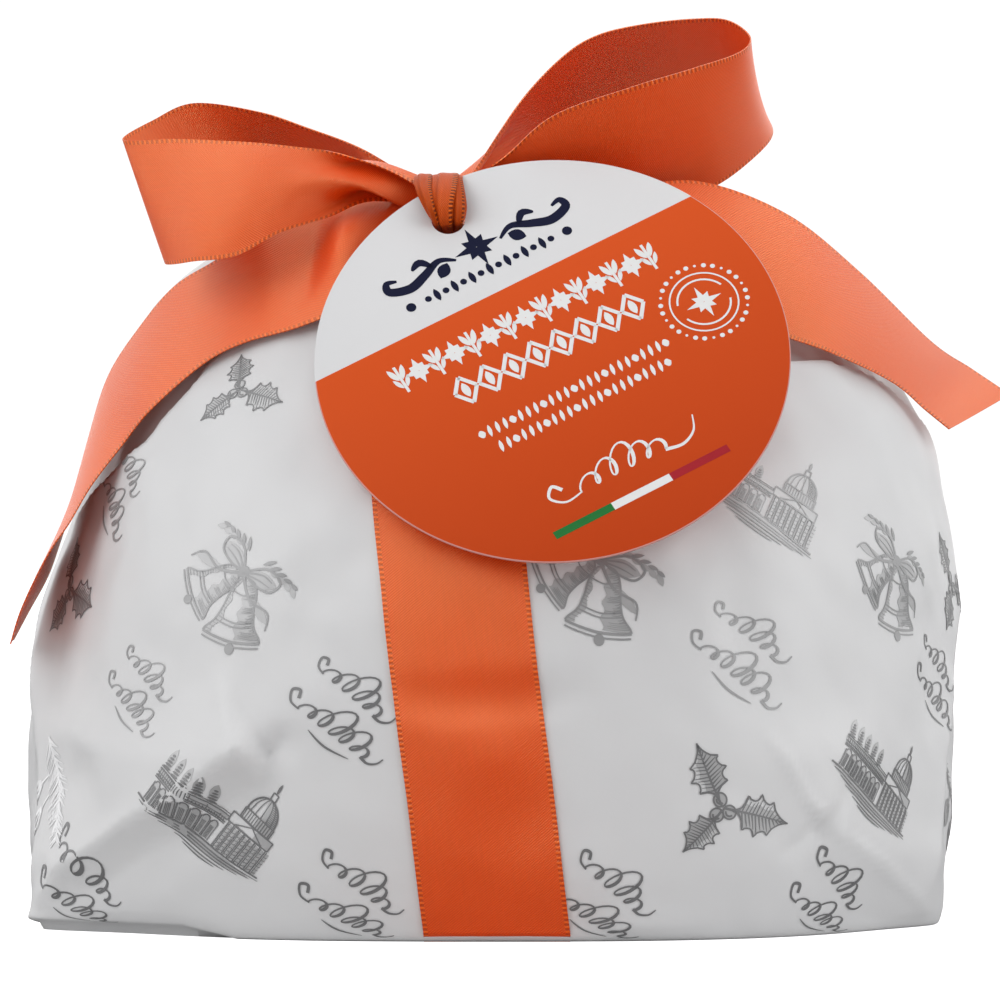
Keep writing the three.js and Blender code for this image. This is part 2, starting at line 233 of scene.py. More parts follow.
@dataclass(frozen=True)
class Satin:
    """Double-faced satin ribbon: twill weave across it and a dotted woven edge."""

    name: str = "satin"
    body: Colour = rgb(0.80, 0.026, 0.0)
    light: Colour = rgb(1.0, 0.115, 0.002)
    dark: Colour = rgb(0.60, 0.030, 0.0)
    roughness: float = 0.34
    twill_mm: float = 0.62
    edge_mm: float = 1.1
    dot_mm: float = 1.25
    relief: float = 0.8
    depth_mm: float = 0.09
    contrast: float = 0.8
    shine: float = 1.0

    def make(self) -> Material:
        """Build the material from the ribbon's own map, whose units are metres along and across.

        Returns:
            The material.
        """
        tree = NodeTree(self.name)
        weave = tree.add("ShaderNodeUVMap", uv_map=WEAVE_MAP).outputs[0]
        parts = tree.add("ShaderNodeSeparateXYZ")
        tree.join(weave, parts.inputs[0])
        along, across = parts.outputs[0], parts.outputs[1]
        turn = 2 * math.pi / (self.twill_mm * MM)
        slanted = tree.maths("ADD", along, tree.maths("MULTIPLY", across, 0.8))
        rib = tree.maths("SINE", tree.maths("MULTIPLY", slanted, turn))
        twill = tree.maths("MULTIPLY_ADD", rib, 0.5, 0.5)
        thread = tree.maths("SINE", tree.maths("MULTIPLY", across, 2.3 * turn))
        cloth = tree.maths("MULTIPLY_ADD", thread, 0.22, twill)
        streak_map = tree.add("ShaderNodeMapping", in_Scale=(90.0, 1400.0, 1.0))
        tree.join(weave, streak_map.inputs["Vector"])
        streak = tree.add("ShaderNodeTexNoise", in_Scale=1.0, in_Detail=3.0)
        tree.join(streak_map.outputs[0], streak.inputs["Vector"])
        half = RIBBON_MM * MM / 2
        from_middle = tree.maths("ABSOLUTE", tree.maths("SUBTRACT", across, half))
        on_edge = tree.maths("GREATER_THAN", from_middle, half - self.edge_mm * MM)
        dots = tree.maths("SINE", tree.maths("MULTIPLY", along, 2 * math.pi / (self.dot_mm * MM)))
        dot = tree.maths("GREATER_THAN", dots, 0.1)
        colour = tree.mix(tree.maths("MULTIPLY", cloth, self.contrast), self.body, self.light)
        streaked = tree.mix(tree.maths("MULTIPLY", streak.outputs["Fac"], 0.3), colour, self.dark)
        edge = tree.mix(tree.maths("MULTIPLY", dot, 0.9), self.dark, self.light)
        tree.colour(tree.mix(on_edge, streaked, edge))
        raised = tree.maths("MULTIPLY", on_edge, tree.maths("ADD", dots, 1.0))
        tree.bump(tree.maths("ADD", cloth, raised), self.relief, self.depth_mm * MM)
        tree.sets(
            Roughness=self.roughness,
            IOR=1.6,
            Specular_IOR_Level=self.shine,
            Specular_Tint=rgb(1.0, 0.9, 0.44),
        )
        return tree.material


@dataclass(frozen=True)
class PlainInk:
    """Printed ink or foil of one colour with a slight mottle."""

    name: str
    colour: Colour
    roughness: float = 0.5
    metallic: float = 0.0
    mottle: float = 0.25
    shine: float = 0.5

    def make(self) -> Material:
        """Build the material.

        Returns:
            The material.
        """
        tree = NodeTree(self.name)
        deep = rgb(*(channel * (1 - self.mottle) for channel in self.colour[:3]))
        tree.colour(tree.mix(tree.noise(220.0), self.colour, deep))
        tree.sets(Roughness=self.roughness, Metallic=self.metallic, Specular_IOR_Level=self.shine)
        return tree.material


@dataclass(frozen=True)
class TagCard:
    """Coated card: a white cap above a slanted line, orange below it that grows darker towards the bottom, in
    the tag's own map.
    """

    white: Colour = rgb(0.70, 0.70, 0.71)
    orange: Colour = rgb(0.68, 0.078, 0.001)
    deep: Colour = rgb(0.48, 0.042, 0.0005)
    line_mm: float = 23.0
    core_mm: float = 57.35

    def make(self) -> Material:
        """Build the material from the tag's map, in metres from its centre.

        Returns:
            The material.
        """
        tree = NodeTree("tag_card")
        spot = tree.add("ShaderNodeUVMap", uv_map=WEAVE_MAP).outputs[0]
        parts = tree.add("ShaderNodeSeparateXYZ")
        tree.join(spot, parts.inputs[0])
        above = tree.maths("GREATER_THAN", parts.outputs[1], self.line_mm * MM)
        # The orange grows darker towards the bottom of the tag.
        fade = tree.maths("MULTIPLY_ADD", parts.outputs[1], -9.0, 0.35)
        depth = tree.add("ShaderNodeClamp")
        tree.join(fade, depth.inputs[0])
        printed = tree.mix(depth.outputs[0], self.orange, self.deep)
        face = tree.mix(above, printed, self.white)
        reach = tree.add("ShaderNodeVectorMath", operation="LENGTH")
        tree.join(spot, reach.inputs[0])
        rim = tree.maths("GREATER_THAN", reach.outputs["Value"], self.core_mm * MM)
        tree.colour(tree.mix(tree.maths("MULTIPLY", rim, 0.35), face, self.white))
        tree.bump(tree.noise(1500.0), 0.1, 0.00005)
        tree.sets(Roughness=0.55, Specular_IOR_Level=0.2)
        return tree.material


@dataclass(frozen=True)
class Crust:
    """Baked crust: golden with browner patches and fine wrinkles."""

    pale: Colour = rgb(0.55, 0.24, 0.07)
    brown: Colour = rgb(0.20, 0.065, 0.018)

    def make(self) -> Material:
        """Build the material.

        Returns:
            The material.
        """
        tree = NodeTree("crust")
        tree.colour(tree.mix(tree.noise(28.0, 6.0), self.pale, self.brown))
        tree.bump(tree.noise(420.0, 4.0), 0.5, 0.0006)
        tree.sets(Roughness=0.7)
        return tree.material


@dataclass(frozen=True)
class ClearFilm:
    """Thin clear bag film."""

    tint: Colour = rgb(0.92, 0.95, 0.97)

    def make(self) -> Material:
        """Build the material.

        Returns:
            The material.
        """
        tree = NodeTree("clear_film")
        tree.bump(tree.noise(90.0, 3.0), 0.4, 0.0008)
        tree.sets(Base_Color=self.tint, Roughness=0.12, Alpha=0.35, Specular_IOR_Level=0.6)
        return tree.material


@dataclass(frozen=True)
class StagePaint:
    """The plain pale floor, which glows towards the camera, lights nothing and shows dark grey in
    reflections, a painted reflection.
    """

    white: Colour = rgb(1.0, 1.0, 1.0)
    pale: Colour = rgb(0.85, 0.85, 0.85)
    mirrored: Colour = rgb(0.12, 0.12, 0.12)

    def make(self) -> Material:
        """Build the material.

        Returns:
            The material.
        """
        tree = NodeTree("stage_paint")
        tree.sets(Roughness=0.95, Specular_IOR_Level=0.0, Emission_Color=self.white)
        ray = tree.add("ShaderNodeLightPath").outputs
        # Glossy rays see the floor dark grey: a painted reflection.
        tree.colour(tree.mix(ray["Is Glossy Ray"], self.pale, self.mirrored))
        tree.join(ray["Is Camera Ray"], tree.shader.inputs["Emission Strength"])
        return tree.material


class Tone(Enum):
    """How the foil print takes the light."""

    DARK = "dark"
    MID = "mid"
    WASH = "wash"
    # Foil lighter than the paper itself: a painted highlight where the foil catches the light.
    PAINTED_GLINT = "pale"


class Palette:
    """Every finish, built once and shared."""

    def __init__(self) -> None:
        """Build the finishes."""
        self.paper = CoatedPaper().make()
        self.satin = Satin().make()
        # The knot's wrap is a darker copy of the satin with a near-black woven edge: painted shade for the
        # knot's deep folds.
        self.wrap = Satin(
            "satin_wrap_painted_shade", rgb(0.64, 0.034, 0.0), rgb(1.0, 0.16, 0.006), rgb(0.24, 0.008, 0.0), 0.4,
            twill_mm=0.55, edge_mm=0.9, dot_mm=0.9, relief=1.0, depth_mm=0.16, shine=0.35,
        ).make()
        self.card = TagCard().make()
        self.navy = PlainInk("navy_ink", rgb(0.003, 0.005, 0.030), 0.7, shine=0.15).make()
        self.white_ink = PlainInk("white_ink", rgb(0.78, 0.78, 0.78), mottle=0.05).make()
        self.green_ink = PlainInk("green_ink", rgb(0.010, 0.17, 0.03), shine=0.2).make()
        self.red_ink = PlainInk("red_ink", rgb(0.40, 0.010, 0.02), shine=0.2).make()
        self.foils = {
            Tone.DARK: PlainInk("dark_foil", rgb(0.22, 0.22, 0.225), 0.4, 0.15).make(),
            Tone.MID: PlainInk("mid_foil", rgb(0.35, 0.35, 0.355), 0.4, 0.15, 0.18).make(),
            Tone.WASH: PlainInk("wash_foil", rgb(0.47, 0.47, 0.475), 0.38, 0.15, 0.14).make(),
            Tone.PAINTED_GLINT: PlainInk("painted_glint_foil", rgb(0.86, 0.86, 0.87), 0.34, 0.15, 0.06).make(),
        }
        self.crust = Crust().make()
        self.baking_paper = PlainInk("baking_paper", rgb(0.13, 0.05, 0.018), 0.8, 0.0, 0.3).make()
        self.film = ClearFilm().make()
        self.tie_foil = PlainInk("tie_foil", rgb(0.75, 0.52, 0.14), 0.3, 1.0).make()
        self.stage = StagePaint().make()


# ---- Helpers that make and finish meshes ----


def mesh_piece(name: str, points: np.ndarray, faces: Sequence = (), edges: Sequence = ()) -> Piece:
    """Make a mesh piece.

    Args:
        name: The piece's name.
        points: A row of x, y, z for each vertex, in millimetres from the loaf's axis.
        faces: Vertex indices of each face.
        edges: Vertex indices of each edge, where there are no faces.

    Returns:
        The new object, at the origin.
    """
    data = bpy.data.meshes.new(name)
    data.from_pydata((np.asarray(points, dtype=float) * MM + AXIS).tolist(), edges, faces)
    data.update()
    piece = bpy.data.objects.new(name, data)
    bpy.context.scene.collection.objects.link(piece)
    return piece


def primitive(kind: str, name: str, **settings: object) -> Piece:
    """Add one of Blender's mesh primitives.

    Args:
        kind: The middle of its operator's name.
        name: The piece's name.
        **settings: The operator's arguments.

    Returns:
        The new piece, active and alone in the selection.
    """
    bpy.ops.object.select_all(action="DESELECT")
    getattr(bpy.ops.mesh, f"primitive_{kind}_add")(**settings)
    piece = bpy.context.active_object
    piece.name = name
    return piece


def only(*pieces: Piece) -> None:
    """Select some pieces and nothing else, and activate the last of them.

    Args:
        *pieces: The pieces.
    """
    bpy.ops.object.select_all(action="DESELECT")
    for piece in pieces:
        piece.select_set(True)
    bpy.context.view_layer.objects.active = pieces[-1]


def turned_out(piece: Piece) -> None:
    """Turn a closed piece's faces outwards.

    Args:
        piece: The piece.
    """
    only(piece)
    bpy.ops.object.mode_set(mode="EDIT")
    bpy.ops.mesh.select_all(action="SELECT")
    bpy.ops.mesh.normals_make_consistent(inside=False)
    bpy.ops.object.mode_set(mode="OBJECT")


def apply_modifier(piece: Piece, kind: str, **settings: object) -> None:
    """Add a modifier and apply it.

    Args:
        piece: The object.
        kind: The modifier's type.
        **settings: The modifier's properties.
    """
    only(piece)
    modifier = piece.modifiers.new(kind.lower(), kind)
    for key, value in settings.items():
        setattr(modifier, key, value)
    bpy.ops.object.modifier_apply(modifier=modifier.name)


def smooth(piece: Piece, angle: float = 40.0) -> None:
    """Shade a piece smooth up to an angle in degrees."""
    only(piece)
    bpy.ops.object.shade_smooth_by_angle(angle=math.radians(angle))


def dress(piece: Piece, material: Material, slot: str, *nodes: str) -> None:
    """Give a piece its finish and its body, and hide the nodes that it stands for.

    Args:
        piece: The object.
        material: Its finish.
        slot: Not used.
        *nodes: CAD nodes that it replaces.
    """
    piece.data.materials.clear()
    piece.data.materials.append(material)
    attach(piece, BODY)
    if nodes:
        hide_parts(*nodes)
    log.info("%s: %d faces", piece.name, len(piece.data.polygons))


def catmull(values: np.ndarray, where: np.ndarray, closed: bool = False) -> np.ndarray:
    """Values of a Catmull-Rom curve.

    Args:
        values: One row for each control point.
        where: Places along it, in control-point steps.
        closed: Whether the last point joins the first.

    Returns:
        One row for each place.
    """
    count = len(values)
    spans = count if closed else count - 1
    low = np.clip(np.floor(where).astype(int), 0, spans - 1)
    share = (where - low)[:, None]

    def pick(step: int) -> np.ndarray:
        """The value a number of steps from each place's own span."""
        index = low + step
        return values[index % count] if closed else values[np.clip(index, 0, count - 1)]

    before, start, end, after = pick(-1), pick(0), pick(1), pick(2)
    leave, arrive = (end - before) / 2, (after - start) / 2
    cubic = 2 * start - 2 * end + leave + arrive
    square = -3 * start + 3 * end - 2 * leave - arrive
    return cubic * share**3 + square * share**2 + leave * share + start


def eased(share: np.ndarray) -> np.ndarray:
    """Shares from 0 to 1 with a soft start and end."""
    return share * share * (3 - 2 * share)


def unit(vectors: np.ndarray) -> np.ndarray:
    """The same vectors at length one."""
    return vectors / np.maximum(np.linalg.norm(vectors, axis=-1, keepdims=True), 1e-12)


def dense(points: Sequence, per: int) -> np.ndarray:
    """A smooth line through points, with so many steps between two of them."""
    last = len(points) - 1
    return catmull(np.array(points, dtype=float), np.linspace(0, last, last * per + 1))


def run_of(line: np.ndarray) -> np.ndarray:
    """How far along a line each of its points lies."""
    return np.concatenate([[0], np.cumsum(np.linalg.norm(np.diff(line, axis=0), axis=1))])


def grid_faces(rows: int, columns: int, closed: bool = False, looped: bool = False) -> list[tuple[int, ...]]:
    """Quads of a grid of vertices numbered row by row.

    Args:
        rows: Vertex rows.
        columns: Vertices in a row.
        closed: Whether the last column joins the first.
        looped: Whether the last row joins the first.

    Returns:
        Vertex indices of each quad.
    """
    faces = []
    for row in range(rows if looped else rows - 1):
        low, high = row * columns, (row + 1) % rows * columns
        for column in range(columns if closed else columns - 1):
            after = (column + 1) % columns
            faces.append((low + column, low + after, high + after, high + column))
    return faces


def strip_faces(first: int, pairs: int) -> list[tuple[int, ...]]:
    """Quads of a strip of vertex pairs numbered from the given one."""
    return [(low, low + 1, low + 3, low + 2) for low in range(first, first + 2 * (pairs - 1), 2)]


def turn_away(piece: Piece, centre: np.ndarray) -> None:
    """Flip each face that looks towards a centre.

    Args:
        piece: The piece.
        centre: The centre, in millimetres from the loaf's axis.
    """
    middle = Vector(centre * MM + AXIS)
    for face in piece.data.polygons:
        if face.normal.dot(face.center - middle) < 0:
            face.flip()
    piece.data.update()


# ---- The wrapping paper ----


@dataclass(frozen=True)
class Crease:
    """A ridge or a valley in the paper along a path of azimuths in degrees and heights.

    The rise falls to nothing near_mm to the path's left and far_mm to its right, with a flat flank
    from a hard fold or a rounded one from a soft fold. It fades at each end over the shares in fade.
    """

    path: tuple[Flat, ...]
    rise: float
    near_mm: float
    far_mm: float
    fade: Flat = (0.25, 0.25)
    hard: bool = True

    def profile(self, out: np.ndarray) -> np.ndarray:
        """The rise's share at a distance from the fold.

        Args:
            out: Distances as shares of the flank's width.

        Returns:
            Shares from 0 to 1.
        """
        left = np.clip(1 - out, 0, 1)
        return left**1.25 if self.hard else eased(left)


@dataclass(frozen=True)
class Fold:
    """A free edge in the paper: past the path's right side it lies lower, like a pleat behind."""

    path: tuple[Flat, ...]
    depth: float
    reach_mm: float
    lip_mm: float = 1.6
    fade: Flat = (0.12, 0.12)


# Height, then the reach to the left, right, front and back, then squareness (2 is an ellipse).
WRAP_RINGS = (
    (0, 110.5, 107, 102, 101, 2.7),
    (3, 113.5, 110, 105, 104, 2.6),
    (20, 116.4, 115.6, 110, 108.5, 2.5),
    (45, 117.2, 117.8, 112, 110, 2.4),
    (75, 113.6, 117.8, 110, 108, 2.3),
    (100, 107.4, 117, 105, 103, 2.2),
    (120, 103, 114, 94.5, 94, 2.15),
    (138, 96.5, 104, 83, 84, 2.1),
    (152, 88.5, 89.5, 72.5, 75, 2.05),
    (163, 78.5, 71, 60.5, 64, 2),
    (172, 60, 50.5, 44.5, 48, 2),
    (178.5, 36, 31, 27, 30, 2),
    (181.5, 9, 9, 8, 9, 2),
)

# The four folded corners at the foot: azimuth, how far each stands out, and its half width in degrees.
CORNERS = ((-149.8, 14.0, 8.0), (-24.5, 8.5, 8.0), (31, 14, 9), (149, 14, 9))

# The ridge that runs up from the lower left corner.
LEFT_RIDGE = ((-145, 15), (-134, 28), (-127, 35), (-122, 42), (-117.5, 46.5))

CREASES = (
    # The lower left corner's fan.
    Crease(((-150, 0), *LEFT_RIDGE), 5.4, 22, 7.5, (0.3, 0.05)),
    Crease(((-149, 2), *LEFT_RIDGE), 0.9, 5, 4, (0.1, 0.02)),
    Crease(((-117.5, 46.5), (-122, 45.5), (-131, 44), (-143, 46), (-158, 52)), 2.0, 14, 10, (0.04, 0.4)),
    Crease(((-117.5, 46.5), (-119, 51), (-122, 57), (-127, 69)), 1.5, 11, 9, (0.06, 0.6)),
    Crease(((-117.8, 44.0), (-115.6, 47.5), (-114.8, 53)), -1.5, 4.5, 7, (0.2, 0.4)),
    Crease(((-112, 44), (-120, 33), (-130, 20), (-141, 6)), -1.0, 9, 16, (0.25, 0.3), False),
    Crease(((-168, 15), (-157, 25), (-143, 33)), 0.8, 12, 8, (0.3, 0.5)),
    # The lower right corner's fan.
    Crease(((-26, 0), (-33, 10), (-44, 22), (-49, 28)), 2.2, 11, 16, (0.3, 0.1)),
    Crease(((-49, 28), (-52, 36), (-54, 43), (-58, 53)), 1.3, 14, 9, (0.06, 0.5)),
    Crease(((-49, 28), (-46.5, 40), (-42, 53)), 1.1, 9, 14, (0.06, 0.5)),
    Crease(((-49, 28), (-51, 33), (-54, 43), (-58, 53)), 0.5, 1.8, 1.8, (0.03, 0.4)),
    Crease(((-27, 3), (-33, 10), (-44, 22), (-49, 28)), 0.5, 2.5, 2.5, (0.3, 0.03)),
    Crease(((-49, 28), (-52, 23), (-56, 19)), -0.8, 7, 8, (0.06, 0.5)),
    Crease(((-79, 3), (-72, 5), (-62, 3)), 0.8, 7, 7, (0.4, 0.4), False),
    # Soft dents and facets on the front.
    Crease(((-114, 96), (-112, 84), (-113, 76)), -0.7, 18, 24, (0.5, 0.5), False),
    Crease(((-142, 118), (-139, 100), (-135, 84)), 1.4, 10, 26, (0.3, 0.5)),
    Crease(((-66, 96), (-60, 84), (-60, 70)), 0.8, 26, 18, (0.5, 0.5), False),
    Crease(((-72, 60), (-78, 45), (-80, 24)), -0.8, 18, 24, (0.5, 0.5), False),
    Crease(((-20, 110), (-26, 92), (-24, 70)), 0.9, 14, 20, (0.4, 0.5), False),
    Crease(((-106, 60), (-95, 57), (-84, 58), (-74, 63)), -1.7, 9, 7, (0.3, 0.3), False),
    # The folded-in sides and the back.
    Crease(((-150, 2), (-158, 42), (-172, 84), (-180, 100)), 2.2, 8, 20, (0.15, 0.3)),
    Crease(((150, 2), (158, 40), (171, 82), (180, 100)), 2.2, 20, 8, (0.15, 0.3)),
    Crease(((-31, 2), (-22, 44), (-8, 86), (2, 104)), 2.2, 20, 8, (0.15, 0.3)),
    Crease(((31, 2), (22, 40), (8, 84), (-2, 102)), 2.2, 8, 20, (0.15, 0.3)),
    Crease(((31, 0), (44, 26), (60, 40)), 3.2, 9, 20, (0.2, 0.2)),
    Crease(((60, 40), (66, 52), (68, 68)), 1.8, 10, 15, (0.1, 0.5)),
    Crease(((149, 0), (137, 24), (120, 42)), 3.2, 20, 8, (0.2, 0.2)),
    Crease(((120, 42), (117, 60), (120, 78)), 1.8, 14, 10, (0.1, 0.5)),
    Crease(((118, 104), (100, 112), (74, 104)), -1.6, 18, 18, (0.5, 0.5), False),
    Crease(((62, 118), (56, 96), (58, 76)), 1.8, 24, 12, (0.4, 0.5)),
)

LEFT_FOLD = (
    (-136, 148), (-140.5, 139), (-141, 133), (-144, 127), (-146, 120), (-151, 115), (-156, 110), (-168, 99),
)
RIGHT_FOLD = ((-6, 120), (-13, 130), (-17, 133.5), (-23, 137), (-30, 139.5), (-38, 139.5), (-46, 140))
FOLDS = (Fold(LEFT_FOLD, 4.4, 26), Fold(RIGHT_FOLD, 4.2, 24))


@dataclass
class Paper:
    """The wrapping paper's form: a smooth wrapped outline with its folds, creases and gather."""

    front_columns: int = 300
    back_columns: int = 150
    wall_rows: int = 168
    base_factors: tuple[float, ...] = (0.985, 0.975, 0.9, 0.75, 0.55, 0.3, 0.12)
    top_factors: tuple[float, ...] = (0.7, 0.45, 0.25, 0.1, 0.02)
    top_rise_mm: float = 1.6
    corner_height: float = 42.0
    mean_radius: float = 108.0
    pleat_count: int = 19
    seam_column: int = 375
    overlap_columns: int = 8
    overlap_mm: float = 0.7
    flat_m: Flat = (0.72, 0.345)
    flap_azimuth: float = math.radians(-140)
    flap_half_angle: float = math.radians(17)
    flap_lift_mm: float = 2.7

    def __post_init__(self) -> None:
        """Work out the grid and its displaced points."""
        front = np.linspace(-math.pi, 0, self.front_columns, endpoint=False)
        back = np.linspace(0, math.pi, self.back_columns, endpoint=False)
        self.angles = np.concatenate([front, back])
        self.shares = np.linspace(0, 1, self.wall_rows)
        self.rings = catmull(np.array(WRAP_RINGS), self.shares * (len(WRAP_RINGS) - 1))
        self.base = self.outline()
        self.wall = self.displaced()

    def outline(self) -> np.ndarray:
        """The smooth outline.

        Returns:
            Rows up the wall, columns round it, then x, y, z.
        """
        height, left, right, front, back, square = (column[:, None] for column in self.rings.T)
        cosine, sine = np.cos(self.angles)[None], np.sin(self.angles)[None]
        across = np.where(cosine < 0, left, right)
        along = np.where(sine < 0, front, back)
        total = (np.abs(cosine) / across) ** square + (np.abs(sine) / along) ** square
        foot = np.clip(1 - height / self.corner_height, 0, 1) ** 2
        corner = np.zeros(total.shape)
        for azimuth, reach, half_width in CORNERS:
            off = (np.degrees(self.angles)[None] - azimuth + 180) % 360 - 180
            corner = corner + reach * foot * np.exp(-((np.abs(off) / half_width) ** 1.5))
        reach = total ** (-1 / square) + corner
        return np.stack([reach * cosine, reach * sine, np.broadcast_to(height, reach.shape)], axis=-1)

    def normals(self) -> np.ndarray:
        """Outward normals of the smooth outline."""
        round_it = np.roll(self.base, -1, axis=1) - np.roll(self.base, 1, axis=1)
        return unit(np.cross(round_it, np.gradient(self.base, axis=0)))

    def along_path(self, path: tuple[Flat, ...]) -> tuple[np.ndarray, np.ndarray, np.ndarray]:
        """How every grid point lies to a path of azimuths and heights.

        Args:
            path: Azimuths in degrees and heights in millimetres.

        Returns:
            The distance, the side (positive on the path's left) and the share along the path.
        """
        height = self.base[..., 2]
        points = np.array([(math.radians(azimuth) * self.mean_radius, level) for azimuth, level in path])
        starts = run_of(points)
        turn = 2 * math.pi * self.mean_radius
        middle = points[:, 0].mean()
        angle = self.angles[None] * self.mean_radius + 0 * height
        angle = middle + (angle - middle + turn / 2) % turn - turn / 2
        best = np.full(angle.shape, 1e9)
        side = np.zeros(angle.shape)
        share = np.zeros(angle.shape)
        for start, end, before, after in zip(points, points[1:], starts, starts[1:]):
            length = after - before
            step = (end - start) / length
            across, rise = angle - start[0], height - start[1]
            onto = np.clip(across * step[0] + rise * step[1], 0, length)
            gap_x, gap_z = across - onto * step[0], rise - onto * step[1]
            gap = np.hypot(gap_x, gap_z)
            nearer = gap < best
            best = np.where(nearer, gap, best)
            side = np.where(nearer, step[0] * gap_z - step[1] * gap_x, side)
            share = np.where(nearer, (before + onto) / starts[-1], share)
        return best, side, share

    @staticmethod
    def faded(share: np.ndarray, fade: Flat) -> np.ndarray:
        """A weight that rises from 0 at each end of a path over the given shares."""
        return eased(np.clip(np.minimum(share / fade[0], (1 - share) / fade[1]), 0, 1))

    def displaced(self) -> np.ndarray:
        """The outline with its creases, folds, gather pleats and slight waviness.

        Returns:
            The finished wall, in the outline's own rows and columns.
        """
        rise = np.zeros(self.base.shape[:2])
        for crease in CREASES:
            gap, side, share = self.along_path(crease.path)
            width = np.where(side > 0, crease.near_mm, crease.far_mm)
            rise += crease.rise * self.faded(share, crease.fade) * crease.profile(gap / width)
        for fold in FOLDS:
            gap, side, share = self.along_path(fold.path)
            weight = eased(np.clip(gap / fold.lip_mm, 0, 1) * (side < 0))
            rise -= fold.depth * weight * self.faded(share, fold.fade) * np.exp(-((gap / fold.reach_mm) ** 2))
        rise += self.pleats() + self.waves()
        foot = np.clip(self.base[..., 2] / 4.0, 0, 1)
        moved = self.base + self.normals() * (rise * foot)[..., None]
        moved[..., 2] = np.maximum(moved[..., 2], 0.05)
        moved[..., 2] += self.lifted()[None] * np.clip(1 - moved[..., 2] / 14, 0, 1)
        return moved

    def pleats(self) -> np.ndarray:
        """Pleats that run down from the gather, deeper near the top.

        Returns:
            Each grid point's rise.
        """
        draw = random.Random(11)
        height = self.base[..., 2]
        rise = np.zeros(height.shape)
        for pleat in range(self.pleat_count):
            azimuth = 2 * math.pi * (pleat + draw.uniform(-0.3, 0.3)) / self.pleat_count
            width = draw.uniform(0.07, 0.14)
            start = draw.uniform(108, 142)
            depth = draw.uniform(0.9, 2.0)
            off = (self.angles[None] - azimuth + math.pi) % (2 * math.pi) - math.pi
            grow = np.clip((height - start) / (170 - start), 0, 1) ** 1.3
            ease = np.clip((183 - height) / 8, 0.25, 1)
            ridge = np.exp(-np.abs(off / width)) - 0.35 * np.exp(-((off / width - 1.4) ** 2))
            rise += depth * grow * ease * ridge
        return rise - 0.5 * np.clip((height - 140) / 40, 0, 1)

    def waves(self) -> np.ndarray:
        """Slight waviness: a few broad swells and many small ripples.

        Returns:
            Each grid point's rise.
        """
        draw = random.Random(5)
        rise = np.zeros(self.base.shape[:2])
        for long_mm, short_mm, size, count in ((95, 55, 0.34, 7), (34, 20, 0.085, 16), (13, 8, 0.022, 20)):
            for _ in range(count):
                heading = np.array([draw.gauss(0, 1) for _ in range(3)])
                heading /= np.linalg.norm(heading)
                length = draw.uniform(short_mm, long_mm)
                start = draw.uniform(0, 2 * math.pi)
                rise += size * np.sin(self.base @ heading * (2 * math.pi / length) + start)
        return rise

    def at(self, angle: float, share: float, lift: float = 0.0) -> np.ndarray:
        """A point on the finished wall.

        Args:
            angle: Azimuth in radians.
            share: Place up the wall, from 0 to 1.
            lift: How far above the paper, in millimetres.

        Returns:
            The point, in millimetres from the loaf's axis.
        """
        turned = (angle + math.pi) % (2 * math.pi) - math.pi
        columns = self.front_columns if turned < 0 else self.back_columns
        column = self.front_columns + turned / math.pi * columns
        row = min(max(share, 0.0), 1.0) * (self.wall_rows - 1)
        low_row, low_column = min(int(row), self.wall_rows - 2), int(column)
        up, over = row - low_row, column - low_column
        near, far = low_column % len(self.angles), (low_column + 1) % len(self.angles)
        lower, upper = self.wall[low_row], self.wall[low_row + 1]
        low = lower[near] * (1 - over) + lower[far] * over
        high = upper[near] * (1 - over) + upper[far] * over
        normal = np.cross(lower[far] - lower[near], high - low)
        return low * (1 - up) + high * up + lift * unit(normal)

    def share_at(self, height: float) -> float:
        """The place up the wall at a height."""
        return float(np.interp(height, self.rings[:, 0], self.shares))

    def lifted(self) -> np.ndarray:
        """How far the folded corner holds the paper's foot off the floor, for each column."""
        off = np.abs(self.angles - self.flap_azimuth) / self.flap_half_angle
        return self.flap_lift_mm * np.clip((1 - off) * 2.4, 0, 1)

    def build(self) -> Piece:
        """Make the paper's mesh: one sheet with its edges lapped at the back.

        Returns:
            The wrapper.
        """
        foot = self.wall[0]
        lift = self.lifted()
        rows = []
        for factor in reversed(self.base_factors):
            row = foot * (factor, factor, 0)
            row[:, 2] = 0.04 + lift * max(0.0, (factor - 0.976) / 0.01)
            rows.append(row)
        rows += list(self.wall)
        top = self.wall[-1]
        for factor in self.top_factors:
            rows.append(top * (factor, factor, 1) + (0, 0, self.top_rise_mm * (1 - factor)))
        grid = np.roll(np.array(rows), -self.seam_column, axis=1)
        lap = grid[:, : self.overlap_columns].copy()
        out = unit(lap * (1, 1, 0))
        lap += out * (self.overlap_mm * np.linspace(0.25, 1, self.overlap_columns))[None, :, None]
        grid = np.concatenate([grid, lap], axis=1)
        piece = mesh_piece("wrapping_paper", grid.reshape(-1, 3), grid_faces(len(grid), grid.shape[1]))
        smooth(piece, 60)
        return piece


# ---- Print on the paper and on the tag ----


